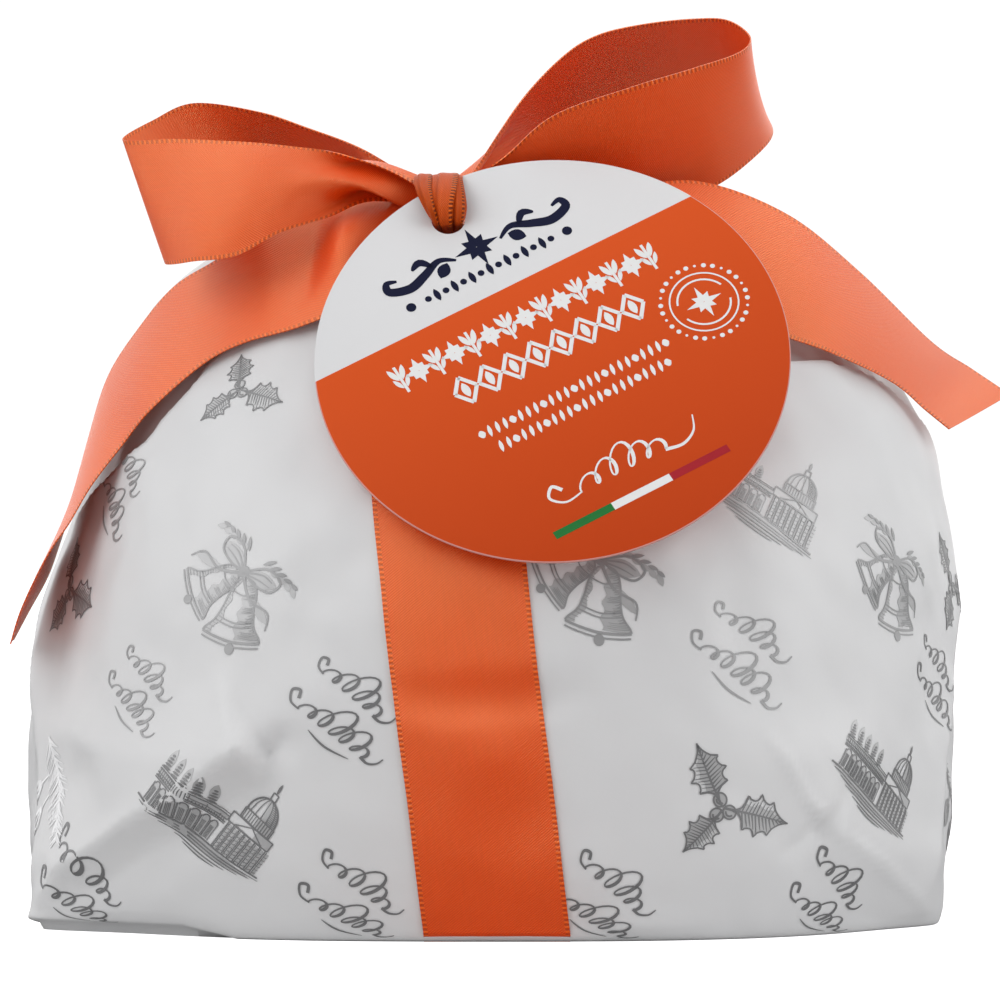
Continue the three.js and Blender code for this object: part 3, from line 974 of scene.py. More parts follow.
class Sketch:
    """Flat line work made of strips, in millimetres: x to the right, y up."""

    def __init__(self) -> None:
        """Start empty."""
        self.strips: list[np.ndarray] = []

    def strip(self, pairs: Sequence[tuple[Flat, Flat]]) -> None:
        """Add a filled strip, given as pairs of points on its two sides."""
        self.strips.append(np.array(pairs, dtype=float))

    def stroke(self, points: Sequence[Flat], width: float, end: float | None = None, steps: int = 6) -> None:
        """Draw a smooth stroke.

        Args:
            points: The points that it passes through.
            width: Its width at its start, or in its middle where end is None, with pointed ends.
            end: Its width at its end.
            steps: Pieces between two points.
        """
        line = dense(points, steps)
        share = np.linspace(0, 1, len(line))
        if end is None:
            widths = width * (0.25 + 0.75 * np.sin(np.pi * share))
        else:
            widths = width + (end - width) * share
        self.along(line, widths)

    def along(self, line: np.ndarray, widths: np.ndarray) -> None:
        """Add a strip along a line.

        Args:
            line: Its points.
            widths: The strip's width at each of them.
        """
        way = unit(np.gradient(line, axis=0))
        side = np.stack([-way[:, 1], way[:, 0]], axis=1) * widths[:, None] / 2
        self.strip(list(zip(line + side, line - side)))

    def line(self, start: Flat, finish: Flat, width: float, steps: int = 4) -> None:
        """Draw a straight stroke of even width."""
        self.stroke([start, finish], width, width, steps)

    def leaf(self, base: Flat, tip: Flat, width: float, steps: int = 8) -> None:
        """Draw a filled pointed leaf.

        Args:
            base: Where it starts.
            tip: Where it ends.
            width: Its width in the middle.
            steps: Pieces along it.
        """
        start, finish = np.array(base, dtype=float), np.array(tip, dtype=float)
        way = unit(finish - start)
        share = np.linspace(0, 1, steps + 1)[:, None]
        middle = start + (finish - start) * share
        half = np.array([-way[1], way[0]]) * (width / 2 * np.sin(np.pi * share) ** 0.8 + 0.02)
        self.strip(list(zip(middle + half, middle - half)))

    def dot(self, centre: Flat, radius: float, steps: int = 8) -> None:
        """Draw a filled round dot.

        Args:
            centre: Its middle.
            radius: Its radius.
            steps: Pieces across it.
        """
        angle = np.pi * np.linspace(0.02, 0.98, steps + 1)
        across, half = centre[0] - radius * np.cos(angle), radius * np.sin(angle)
        self.strip([((x, centre[1] + y), (x, centre[1] - y)) for x, y in zip(across, half)])

    def ring(self, centre: Flat, radius: float, width: float, start: float = 0, sweep: float = 360) -> None:
        """Draw a ring or an arc.

        Args:
            centre: Its middle.
            radius: Its radius.
            width: Its line's width.
            start: Where it starts, in degrees.
            sweep: How far it goes, in degrees.
        """
        angle = np.radians(start + sweep * np.linspace(0, 1, max(8, int(sweep / 9)) + 1))
        way = np.stack([np.cos(angle), np.sin(angle)], axis=1)
        self.strip(list(zip(centre + way * (radius - width / 2), centre + way * (radius + width / 2))))

    def outline(self, corners: Sequence[Flat], width: float) -> None:
        """Draw the straight sides between corners, closed."""
        for start, finish in zip(corners, list(corners[1:]) + [corners[0]]):
            self.line(start, finish, width)

    def add(self, other: "Sketch", at: Flat = (0, 0), turn: float = 0.0, size: float = 1.0) -> None:
        """Copy another sketch in.

        Args:
            other: The sketch.
            at: Where its origin goes.
            turn: How far it is turned, in degrees.
            size: How much larger it gets.
        """
        cosine, sine = math.cos(math.radians(turn)) * size, math.sin(math.radians(turn)) * size
        spin = np.array([[cosine, sine], [-sine, cosine]])
        self.strips += [strip @ spin + at for strip in other.strips]


class Drawing:
    """A motif: fine lines over a flat wash."""

    def __init__(self) -> None:
        """Start empty."""
        self.lines = Sketch()
        self.wash = Sketch()


def placed(parts: Sequence[tuple[Drawing, Flat, float, float]]) -> Drawing:
    """Put drawings together.

    Args:
        parts: Each drawing with its place, its turn in degrees and its scale.

    Returns:
        The whole drawing.
    """
    whole = Drawing()
    for part, at, turn, size in parts:
        whole.lines.add(part.lines, at, turn, size)
        whole.wash.add(part.wash, at, turn, size)
    return whole


def holly_leaf(reach: float) -> Drawing:
    """One spiny leaf along X, with scalloped sides, veins and a half wash.

    Args:
        reach: Its length.

    Returns:
        The leaf, from the origin.
    """
    leaf = Drawing()
    spines = [(0.0, 0.0), (0.24, 0.27), (0.46, 0.34), (0.68, 0.27), (1.0, 0.0)]
    edge: list[Flat] = []
    for start, finish in zip(spines, spines[1:]):
        middle = ((start[0] + finish[0]) / 2 + 0.02, (start[1] + finish[1]) / 2 - 0.085)
        edge += [start, ((start[0] * 2 + middle[0]) / 3, (start[1] + middle[1]) / 2 - 0.01), middle]
        edge += [((finish[0] * 2 + middle[0]) / 3, (finish[1] + middle[1]) / 2 - 0.015)]
    edge.append(spines[-1])
    outline = [(x * reach, max(y, 0.0) * reach) for x, y in edge]
    for flip in (1, -1):
        leaf.lines.stroke([(x, y * flip) for x, y in outline], 0.42, 0.42, 2)
        for vein in range(15):
            x = reach * (0.06 + vein * 0.06)
            tall = float(np.interp(x + 0.06 * reach, [p[0] for p in outline], [p[1] for p in outline])) * 0.86
            thick = 0.34 if flip > 0 else 0.5
            leaf.lines.stroke([(x, 0.05 * flip), (x + 0.07 * reach, tall * flip)], thick, 0.12, 3)
    leaf.lines.stroke([(-0.12 * reach, 0), (reach / 2, 0.012 * reach), (reach, 0)], 0.7, 0.25, 6)
    leaf.wash.strip([((x, -y - 0.01), (x, 0.01)) for x, y in outline])
    leaf.wash.strip([((x, y * 0.55 + 0.01), (x, 0.0)) for x, y in outline])
    return leaf


def holly() -> Drawing:
    """A sprig of three holly leaves with berries, about 30 mm across.

    Returns:
        The sprig, about the origin.
    """
    leaves = ((16.5, (2, 1), 24), (15.0, (-2, 1), 152), (13.5, (0, -2.2), 266))
    whole = placed([(holly_leaf(reach), at, turn, 1.0) for reach, at, turn in leaves])
    for x, y in ((-1.9, 1.2), (2.0, 0.2), (-0.3, -2.4)):
        whole.lines.ring((x, y), 1.75, 0.45)
        whole.lines.ring((x, y), 1.0, 0.5, 200, 150)
        whole.wash.dot((x, y), 1.7, 10)
    return whole


def bell() -> Drawing:
    """One bell, about 17 mm tall, hanging from the origin, hatched down its right side.

    Returns:
        The bell.
    """
    profile = ((0.6, 0.0), (2.6, -1.0), (3.9, -4.0), (4.5, -8.0), (5.6, -11.4), (7.6, -13.6), (8.2, -14.6))
    side = dense(profile, 5)
    whole = Drawing()
    sketch = whole.lines
    for flip in (1, -1):
        sketch.stroke([(x * flip, y) for x, y in profile], 0.5, 0.5, 6)
    for drop, width in ((0.0, 0.6), (1.1, 0.4)):
        rim = [(x, -14.6 - drop - 1.2 * math.cos(math.pi * x / 17)) for x in (-8.2, -5, 0, 5, 8.2)]
        sketch.stroke(rim, width, width, 5)
    for row in range(33):
        y = -0.8 - row * 0.42
        wide = float(np.interp(-y, -side[:, 1], side[:, 0]))
        reach = 0.5 + 0.26 * math.sin(row * 0.9) + 0.14 * math.sin(row * 2.3)
        inner, end = wide * (1 - reach * 0.5), wide * (1 - reach)
        sketch.stroke([(wide, y), (inner, y - 0.5), (end, y - 0.62)], 0.3, 0.1, 3)
        if row % 2:
            sketch.stroke([(-wide, y), (-wide * 0.74, y - 0.4)], 0.28, 0.1, 3)
    for level in (-3.4, -10.4, -11.4):
        wide = float(np.interp(-level, -side[:, 1], side[:, 0]))
        sketch.stroke([(-wide, level), (0, level - 1.0), (wide, level)], 0.36, 0.36, 6)
    sketch.dot((0.6, -17.4), 1.3, 10)
    whole.wash.strip([((x, y), (x * 0.1 + 0.5 * math.sin(y * 1.7), y - 0.5)) for x, y in side])
    whole.wash.strip([((-x * 0.72 - 0.4 * math.sin(y * 1.3), y), (-x, y)) for x, y in side])
    return whole


def bells() -> Drawing:
    """Two bells under a bow with two sprigs, about 30 mm across.

    Returns:
        The bells, about the origin.
    """
    whole = placed([(bell(), (-1.6, 5.0), -24, 0.86), (bell(), (2.2, 5.4), 27, 0.98)])
    for flip in (1, -1):
        loop = [(0, 6), (5.0 * flip, 10.6), (10.0 * flip, 10.2), (9.4 * flip, 6.6), (4.6 * flip, 5.4), (0, 6)]
        whole.lines.stroke(loop, 0.6, 0.6, 6)
        whole.lines.stroke([(0.6 * flip, 6.2), (5 * flip, 8.6), (8.4 * flip, 8.7)], 0.6, 0.2, 5)
        whole.lines.stroke([(1.4 * flip, 6.0), (5.2 * flip, 7.0), (8.6 * flip, 7.4)], 0.5, 0.2, 5)
        whole.wash.leaf((0.5 * flip, 6), (10 * flip, 8.6), 4.2, 8)
        whole.lines.stroke([(0, 5.6), (6.4 * flip, 2.0), (12.6 * flip, 2.6), (15 * flip, -0.8)], 0.9, 0.3, 6)
        whole.wash.leaf((5.5 * flip, 2.6), (14.6 * flip, 0.6), 2.4, 6)
        for step in range(5):
            x, up, down = 3 + 2.3 * step, 0.3 * step, 0.5 * step
            whole.lines.leaf((x * flip, 10.6 + up), ((x + 2.6) * flip, 13.6 - down), 1.0, 5)
            whole.wash.leaf(((x + 0.6) * flip, 10.2 + up), ((x + 3.4) * flip, 11.6 - down), 1.5, 5)
    whole.lines.dot((0, 6.0), 1.6, 10)
    return whole


def fir_branch() -> Drawing:
    """A drooping fir branch with two cones, about 34 mm long.

    Returns:
        The branch, about the origin.
    """
    whole = Drawing()
    whole.lines.stroke([(-16, 3), (-6, 2), (5, -1), (16, -7)], 0.8, 0.3, 8)
    draw = random.Random(3)
    for step in range(46):
        share = step / 45
        x = -15 + 31 * share
        y = 3 - 2.2 * share - 7.6 * share**2
        long = 6.4 * (1 - 0.35 * share) * draw.uniform(0.8, 1.1)
        for flip in (1, -1):
            turn = math.radians(-22 - 14 * share + flip * draw.uniform(30, 58))
            tip = (x + long * math.cos(turn), y + long * math.sin(turn))
            layer = whole.wash if (step + flip) % 3 == 0 else whole.lines
            layer.stroke([(x, y), tip], 0.5 if layer is whole.lines else 0.95, 0.16, 3)
    cones = [(whole, (0, 0), 0, 1.0)]
    for x, y, turn in ((-9.0, -7.0, -104), (-1.5, -9.5, -84)):
        cone = Drawing()
        for row in range(6):
            wide = 3.0 * math.sin(math.pi * (row + 1.2) / 7.4)
            for place in (-1, 0, 1):
                middle = (row * 1.6, place * wide * 0.75)
                cone.lines.leaf((middle[0] - 0.2, middle[1]), (middle[0] + 2.1, middle[1] * 0.8), 1.1, 5)
        cone.wash.leaf((-1, 0), (11, 0), 6.4, 8)
        cone.lines.stroke([(-5, 0.6), (-2, 0.2), (0.4, 0)], 0.5, 0.7, 4)
        cones.append((cone, (x, y), turn, 1.0))
    return placed(cones)


def arch_points(centre: Flat, wide: float, tall: float, degrees: Sequence[float]) -> list[Flat]:
    """Points on an upright ellipse at the given degrees."""
    turns = [math.radians(angle) for angle in degrees]
    return [(centre[0] + wide * math.cos(turn), centre[1] + tall * math.sin(turn)) for turn in turns]


def chapel() -> Drawing:
    """A hatched hall with a dome, columns and an arcade, about 38 mm wide.

    Returns:
        The hall, about the origin.
    """
    whole = Drawing()
    sketch, wash = whole.lines, whole.wash
    dome = arch_points((7.5, 6.6), 4.6, 5.4, range(0, 181, 20))
    sketch.stroke(dome, 0.46, 0.46, 4)
    wash.strip([(point, (7.9, 6.6)) for point in dome[:6]])
    for rib in (-0.75, -0.4, 0.0, 0.4, 0.75):
        sketch.stroke(arch_points((7.5, 6.6), 4.6 * rib, 5.4, (0, 30, 60, 88)), 0.3, 0.16, 4)
    for hatch in range(11):
        y = 6.9 + 0.46 * hatch
        wide = 4.6 * math.sqrt(max(0.0, 1 - ((y - 6.6) / 5.4) ** 2))
        sketch.stroke([(7.5 + wide, y), (7.5 + wide * 0.35, y - 0.1)], 0.26, 0.1, 3)
    sketch.outline([(6.7, 12.0), (8.3, 12.0), (8.3, 14.0), (6.7, 14.0)], 0.36)
    sketch.leaf((7.5, 14.0), (7.5, 17.0), 0.8, 5)
    sketch.outline([(2.6, 3.6), (12.4, 3.6), (12.4, 6.4), (2.6, 6.4)], 0.38)
    wash.line((7.2, 5.0), (12.4, 5.0), 2.7, 3)
    for column in range(12):
        sketch.line((3.1 + column * 0.8, 3.7), (3.1 + column * 0.8, 6.3), 0.34 if column > 5 else 0.22)
    sketch.outline([(0.6, 0.6), (14.2, 0.6), (14.2, 3.4), (0.6, 3.4)], 0.36)
    sketch.outline([(2.8, 0.8), (12.0, 0.8), (7.4, 3.2)], 0.32)
    wash.line((9.0, 2.0), (14.2, 2.0), 2.6, 3)
    for column in range(8):
        x = 1.2 + column * 1.8
        sketch.line((x, -7.6), (x, 0.4), 0.36)
        sketch.line((x + 0.5, -7.5), (x + 0.5, 0.3), 0.2)
        wash.line((x + 0.9, -7.4), (x + 0.9, 0.0), 0.95)
        for bar in range(6):
            sketch.line((x + 0.7, -7.0 + bar * 1.15), (x + 1.5, -6.8 + bar * 1.15), 0.18, 2)
    for arch in range(7):
        x, size = -1.6 - arch * 2.55, 1.0 - 0.035 * arch
        sketch.ring((x, -2.6), 0.95 * size, 0.3, 0, 180)
        sketch.line((x - 1.2, -7.4), (x - 1.2, -2.4), 0.36)
        sketch.line((x + 0.95, -7.4), (x + 0.95, -2.6), 0.22)
        wash.line((x, -7.3), (x, -1.9), 1.7)
        for shade in range(4):
            sketch.line((x - 0.6 + shade * 0.3, -7.2), (x - 0.6 + shade * 0.3, -3.4), 0.16)
    for level, width in ((-0.9, 0.3), (-0.4, 0.36), (0.4, 0.26), (1.5, 0.26), (2.1, 0.2)):
        sketch.line((-19, level - 0.6), (0.4, level), width, 6)
    for column in range(26):
        sketch.line((-18.4 + column * 0.72, -0.9), (-18.4 + column * 0.72, 1.2 - 0.02 * column), 0.2)
    wash.line((-19, 0.1), (0.4, 0.7), 1.2, 6)
    for tree in range(5):
        x = -17.5 + tree * 3.1
        for level in range(5):
            half, up = 1.3 - 0.2 * level, level * 0.8
            sketch.leaf((x - half, 1.8 + up), (x + half, 2.2 + up), 0.6, 4)
        wash.leaf((x, 1.4), (x, 7.0), 2.2, 6)
    sketch.line((-20.5, -7.8), (16.5, -7.8), 0.46, 8)
    for level, reach in ((-8.6, 19), (-9.4, 16), (-10.3, 13), (-11.3, 9), (-12.2, 6)):
        sketch.stroke([(-reach, level), (0, level - 0.35), (reach * 0.9, level)], 0.42, None, 8)
    wash.leaf((-19, -8.6), (15, -9.4), 2.8, 10)
    return whole


def pen_loops(heights: Sequence[float], step: float, thick: float, lean: float = 0.35) -> Sketch:
    """A run of looped pen strokes, thick going down and thin going up.

    Args:
        heights: Each loop's height.
        step: How far each loop moves on.
        thick: The widest stroke.
        lean: How far the loops lean forward.

    Returns:
        The flourish, centred sideways.
    """
    spots, widths = [], []
    for place, height in enumerate(heights):
        for tick in range(18):
            turn = 2 * math.pi * tick / 18
            rise = height * (1 - math.cos(turn)) / 2
            x = step * (place + tick / 18) - (0.16 * abs(height) + 0.7) * math.sin(turn) + lean * rise
            spots.append((x - step * len(heights) / 2, rise))
            widths.append(thick * (0.48 + 0.52 * max(0.0, -math.sin(turn)) ** 0.8))
    sketch = Sketch()
    sketch.along(np.array(spots), np.array(widths))
    return sketch


def flourish() -> Drawing:
    """Two looped pen flourishes, one under the other, with end curls.

    Returns:
        The flourishes, about the origin.
    """
    drawing = Drawing()
    sketch = drawing.lines
    sketch.add(pen_loops((2.8, 5.0, 7.8, 5.0, 2.8), 3.4, 0.9, 0.5), (-1.6, 4.4))
    sketch.stroke([(-9.9, 4.4), (-12.2, 5.0), (-13.0, 7.2), (-11.4, 8.0), (-10.6, 6.6)], 0.45, 0.85, 8)
    sketch.stroke([(6.7, 4.4), (9.0, 4.2), (11.2, 5.6), (11.8, 7.8)], 0.85, 0.3, 8)
    sketch.add(pen_loops((2.8, 4.6, 8.2, 4.6, 6.4, 2.8), 3.4, 0.95, 0.5), (0.8, -6.2))
    sketch.stroke([(-9.3, -6.2), (-12.2, -6.0), (-13.8, -3.6), (-12.0, -2.4), (-11.0, -4.2)], 0.45, 0.9, 8)
    sketch.stroke([(10.9, -6.2), (13.4, -6.6), (15.4, -5.2), (16.0, -3.2)], 0.9, 0.3, 8)
    sketch.stroke([(-4.0, -8.8), (2.0, -9.7), (9.0, -8.6)], 0.6, None, 8)
    return drawing


class Motif(Enum):
    """The print's line drawings."""

    HOLLY = "holly"
    BELLS = "bells"
    FIR = "fir"
    CHAPEL = "chapel"
    FLOURISH = "flourish"


@dataclass(frozen=True)
class Print:
    """One motif on the paper: azimuth in degrees, height in millimetres, tone and size."""

    motif: Motif
    azimuth: float
    height: float
    tone: Tone
    size: float = 1.0


FRONT_PRINT = (
    Print(Motif.HOLLY, -131, 132, Tone.DARK, 0.74),
    Print(Motif.BELLS, -124, 84, Tone.MID, 0.98),
    Print(Motif.HOLLY, -156, 83, Tone.DARK, 0.9),
    Print(Motif.FLOURISH, -149, 108, Tone.MID, 0.9),
    Print(Motif.FLOURISH, -135.5, 59, Tone.MID, 0.82),
    Print(Motif.FLOURISH, -108, 55, Tone.DARK, 0.95),
    Print(Motif.FLOURISH, -143, 8, Tone.DARK, 0.9),
    Print(Motif.FLOURISH, -107.5, 9, Tone.DARK, 0.9),
    Print(Motif.CHAPEL, -122.5, 29, Tone.DARK, 0.95),
    # The fir near the left edge is laid in the lightest foil, a painted highlight.
    Print(Motif.FIR, -150, 35, Tone.PAINTED_GLINT, 0.95),
    Print(Motif.BELLS, -78, 87, Tone.MID, 1.0),
    Print(Motif.CHAPEL, -52, 107, Tone.MID, 0.9),
    Print(Motif.FLOURISH, -59, 69, Tone.MID, 0.95),
    Print(Motif.BELLS, -35, 86, Tone.MID, 0.95),
    Print(Motif.HOLLY, -14, 84, Tone.DARK, 0.9),
    Print(Motif.FLOURISH, -24, 60, Tone.DARK, 0.9),
    Print(Motif.HOLLY, -62, 32, Tone.DARK, 0.95),
    Print(Motif.CHAPEL, -39, 37, Tone.DARK, 0.9),
    Print(Motif.FLOURISH, -76, 9, Tone.DARK, 0.9),
    Print(Motif.FLOURISH, -46.5, 8, Tone.DARK, 0.9),
    Print(Motif.FIR, -14, 30, Tone.MID, 0.9),
)


def regular_print() -> list[Print]:
    """The print on the sides and the back, in the same staggered rows.

    Returns:
        Every mark of it.
    """
    marks = []
    order = (Motif.FLOURISH, Motif.BELLS, Motif.CHAPEL, Motif.HOLLY)
    for row, height in enumerate((11, 36, 61, 86, 110, 133)):
        step = 29 if height < 120 else 36
        start = 4 + 14 * (row % 2)
        for place, azimuth in enumerate(range(start, 186, step)):
            motif = order[(place + 2 * row + row // 2) % 4]
            if abs(azimuth - 90) > 4:
                tone = Tone.DARK if (row + place) % 3 else Tone.MID
                marks.append(Print(motif, azimuth, height, tone, 0.9))
    for azimuth, height in ((-100, 146), (-60, 140), (20, 156), (62, 158), (118, 157), (160, 158)):
        marks.append(Print(Motif.FLOURISH, azimuth, height, Tone.MID, 0.8))
    return marks


@dataclass
class PaperPrint:
    """The silver print: line drawings laid on the paper as thin foil."""

    paper: Paper
    turn: float = -38.0
    lift_mm: float = 0.17
    wash_lift_mm: float = 0.10
    foil_mm: float = 0.04
    low_share: float = 0.012
    high_share: float = 0.97

    def __post_init__(self) -> None:
        """Draw each motif once, and start a mesh of points and faces for each tone."""
        self.drawings = {
            Motif.HOLLY: holly(),
            Motif.BELLS: bells(),
            Motif.FIR: fir_branch(),
            Motif.CHAPEL: chapel(),
            Motif.FLOURISH: flourish(),
        }
        self.meshes = {tone: ([], []) for tone in Tone}

    def lay(self, sketch: Sketch, mark: Print, lift: float, tone: Tone) -> None:
        """Lay one layer of a motif on the paper.

        Args:
            sketch: The layer's shapes.
            mark: Where it goes.
            lift: How far over the paper.
            tone: The foil that it adds to.
        """
        points, faces = self.meshes[tone]
        turned = Sketch()
        turned.add(sketch, (0, 0), self.turn, mark.size)
        angle = math.radians(mark.azimuth)
        share = self.paper.share_at(mark.height)
        small = 0.004
        here = self.paper.at(angle, share)
        per_angle = float(np.linalg.norm(self.paper.at(angle + small, share) - here)) / small
        per_share = float(np.linalg.norm(self.paper.at(angle, share + small) - here)) / small
        for strip in turned.strips:
            flat = strip.reshape(-1, 2) / (per_angle, per_share) + (angle, share)
            if flat[:, 1].min() < self.low_share or flat[:, 1].max() > self.high_share:
                continue
            faces += strip_faces(len(points), len(strip))
            points += [self.paper.at(place, level, lift) for place, level in flat]

    def build(self) -> dict[Tone, Piece]:
        """Make the foil of every tone.

        Returns:
            The foils, thin and closed.
        """
        for mark in list(FRONT_PRINT) + regular_print():
            drawing = self.drawings[mark.motif]
            # The painted-highlight foil also takes the place of the wash under its own lines.
            under = mark.tone if mark.tone is Tone.PAINTED_GLINT else Tone.WASH
            self.lay(drawing.wash, mark, self.wash_lift_mm, under)
            self.lay(drawing.lines, mark, self.lift_mm, mark.tone)
        pieces = {}
        for tone, (points, faces) in self.meshes.items():
            piece = mesh_piece(f"paper_print_{tone.value}", np.array(points), faces)
            turn_away(piece, np.array([0, 0, 80]))
            apply_modifier(piece, "SOLIDIFY", thickness=self.foil_mm * MM, offset=0.0)
            smooth(piece)
            pieces[tone] = piece
        return pieces


# ---- Ribbon ----


RIGHT_LOOP: tuple[Station, ...] = (
    ((-5.6, -53, 182.6), (-6, -46, 179.4)),
    ((3, -53.5, 190), (7, -37, 178.6)),
    ((15, -56, 200.4), (22, -35, 178)),
    ((34, -56, 207.4), (40, -36, 180)),
    ((51, -50, 213), (55, -30, 184)),
    ((62, -42, 217.4), (67, -17, 193)),
    ((65, -32, 222), (72, -6, 200)),
    ((60, -22, 227), (68, 4, 206)),
    ((52, -16, 228), (58, 11, 206)),
    ((39, -12, 227), (41, 14, 204)),
    ((27, -14, 224), (28, 12, 200)),
    ((18, -20, 218), (19, 4, 196)),
    ((7, -32, 205.6), (10, -12, 188)),
    ((-7.6, -45, 185.2), (-7, -40, 181.6)),
)
LEFT_LOOP: tuple[Station, ...] = (
    ((-16.8, -53, 181.6), (-16, -47, 178.6)),
    ((-30, -57, 188.2), (-30, -51, 179.6)),
    ((-40, -56, 191.7), (-40, -57, 175.6)),
    ((-52, -55, 192.8), (-52, -62, 171.6)),
    ((-65, -54, 194), (-63, -65, 165)),
    ((-78, -51, 195), (-73, -62, 164)),
    ((-92, -43, 195.4), (-81, -50, 164.4)),
    ((-85, -34, 201), (-76, -34, 171)),
    ((-75, -29, 205.6), (-68, -23, 176)),
    ((-59, -26, 203.6), (-57, -9, 180)),
    ((-47, -27, 199.6), (-47, -7, 181)),
    ((-32, -34, 193.4), (-32, -17, 183)),
    ((-16.4, -44.5, 183.4), (-16.4, -39, 181)),
)
LEFT_TAIL: tuple[Station, ...] = (
    ((-18.5, -45.5, 180.6), (-17, -55, 173)),
    ((-30, -44.5, 181.2), (-24, -62, 163)),
    ((-44, -46, 176.5), (-32, -69, 154)),
    ((-57, -47, 172), (-47, -70, 148)),
    ((-70, -38, 165), (-61, -65, 144)),
    ((-80, -33, 159), (-71, -61, 139)),
    ((-89, -29, 148.8), (-84, -57, 128)),
    ((-97, -24, 137), (-91.5, -54, 119)),
    ((-101.8, -24.5, 122), (-99, -56, 109)),
    ((-105.2, -27, 107), (-104, -60, 100)),
    ((-109, -29, 94.5), (-108.2, -62, 93.7)),
    ((-112, -30, 86), (-112, -63, 86.6)),
    ((-116.4, -31, 77.8), (-116, -63, 77.7)),
    ((-120.2, -33, 70.4), (-118.4, -62, 70)),
)
RIGHT_TAIL: tuple[Station, ...] = (
    ((-6, -46, 177), (-6, -53, 172.5)),
    ((12, -46, 179.6), (17, -60, 167)),
    ((32, -45, 183), (39, -63, 160)),
    ((52, -41, 185), (57, -60, 156)),
    ((74, -38, 177), (69, -58, 147.4)),
    ((93, -26, 163), (84, -53, 142)),
    ((112, -12, 146), (100, -41, 135)),
    ((123, -4, 139.2), (109, -35, 128)),
    ((133, -3, 132.6), (115, -33, 123.3)),
)


@dataclass(frozen=True)
class Ripple:
    """A ridge across a ribbon, from a place along it at its upper edge to one at its lower edge.

    It is near_mm wide towards the ribbon's start and far_mm wide beyond, highest at the share of the
    ribbon's width given by middle, and gone past reach from there.
    """

    upper_mm: float
    lower_mm: float
    rise_mm: float
    near_mm: float
    far_mm: float
    middle: float = 0.5
    reach: float = 1.5


@dataclass
class Ribbon:
    """A stretch of ribbon between two edge rails, gathered where the rails come close.

    The stations are points on its upper and lower edges. It has so many waves across its width where
    it is drawn together, the first at phase in turns. Its middle bows out along the rails' normal by
    its crowns, at places spread evenly, and the ripples are ridges across it.
    """

    node: str
    stations: Sequence[Station]
    waves: float
    phase: float
    crowns: Sequence[float]
    ripples: Sequence[Ripple] = ()
    per_station: int = 18
    gathered_mm: float = 9.0
    open_mm: float = 21.0
    fullness: float = 0.78

    def rails(self) -> tuple[np.ndarray, np.ndarray]:
        """Dense points along the upper and the lower edge."""
        stations = np.array(self.stations, dtype=float)
        return dense(stations[:, 0], self.per_station), dense(stations[:, 1], self.per_station)

    def surface(self) -> np.ndarray:
        """The stretch's middle surface: rows along it, columns across it, then x, y, z.

        Returns:
            The points, in millimetres from the loaf's axis.
        """
        upper, lower = self.rails()
        place = np.linspace(0, 1, RIBBON_COLUMNS)
        flat = upper[:, None] * (1 - place[None, :, None]) + lower[:, None] * place[None, :, None]
        across = lower - upper
        width = np.linalg.norm(across, axis=1)
        middle = (upper + lower) / 2
        normal = unit(np.cross(np.gradient(middle, axis=0), across))
        spare = np.clip(RIBBON_MM - width, 0, None)
        share = np.clip((self.open_mm - width) / (self.open_mm - self.gathered_mm), 0, 1)
        height = share * self.fullness * np.sqrt(spare * (RIBBON_MM + width)) / (4 * self.waves)
        wave = np.sin(2 * math.pi * (self.waves * place[None] + self.phase))
        crown = np.interp(np.linspace(0, 1, len(width)), np.linspace(0, 1, len(self.crowns)), self.crowns)
        arch = 1 - (2 * place[None] - 1) ** 2
        rise = self.even(height)[:, None] * wave + self.even(crown)[:, None] * arch
        along = run_of(middle)[:, None]
        for ripple in self.ripples:
            off = along - (ripple.upper_mm + (ripple.lower_mm - ripple.upper_mm) * place[None])
            spread = np.where(off < 0, ripple.near_mm, ripple.far_mm)
            fade = np.exp(-(((place[None] - ripple.middle) / ripple.reach) ** 2))
            rise = rise + ripple.rise_mm * fade * np.exp(-((off / spread) ** 2))
        return flat + normal[:, None] * rise[..., None]

    @staticmethod
    def even(values: np.ndarray) -> np.ndarray:
        """Values smoothed along the ribbon."""
        return np.convolve(np.pad(values, 10, mode="edge"), np.ones(21) / 21, mode="valid")

    def length(self) -> float:
        """The stretch's length along its middle, in metres."""
        upper, lower = self.rails()
        return float(run_of((upper + lower) / 2)[-1]) * MM

    def build(self, tree: BVHTree, clear_mm: float = 0.5) -> Piece:
        """Make the ribbon's mesh outside the paper, given as a tree in metres."""
        return ribbon_piece(f"{self.node}_satin", pushed_out(self.surface(), tree, clear_mm))


def ribbon_piece(name: str, surface: np.ndarray) -> Piece:
    """Make a ribbon's mesh with its weave map, in metres along and across it.

    Args:
        name: The piece's name.
        surface: Rows along it and columns across it, in millimetres from the loaf's axis.

    Returns:
        The piece.
    """
    rows, columns = surface.shape[:2]
    piece = mesh_piece(name, surface.reshape(-1, 3), grid_faces(rows, columns))
    along = run_of(surface[:, columns // 2]) * MM
    across = np.linspace(0, RIBBON_MM * MM, columns)
    layer = piece.data.uv_layers.new(name=WEAVE_MAP)
    for loop in piece.data.loops:
        row, column = divmod(loop.vertex_index, columns)
        layer.data[loop.index].uv = (along[row], across[column])
    apply_modifier(piece, "SOLIDIFY", thickness=RIBBON_THICK_MM * MM, offset=0.0)
    smooth(piece, 70)
    return piece


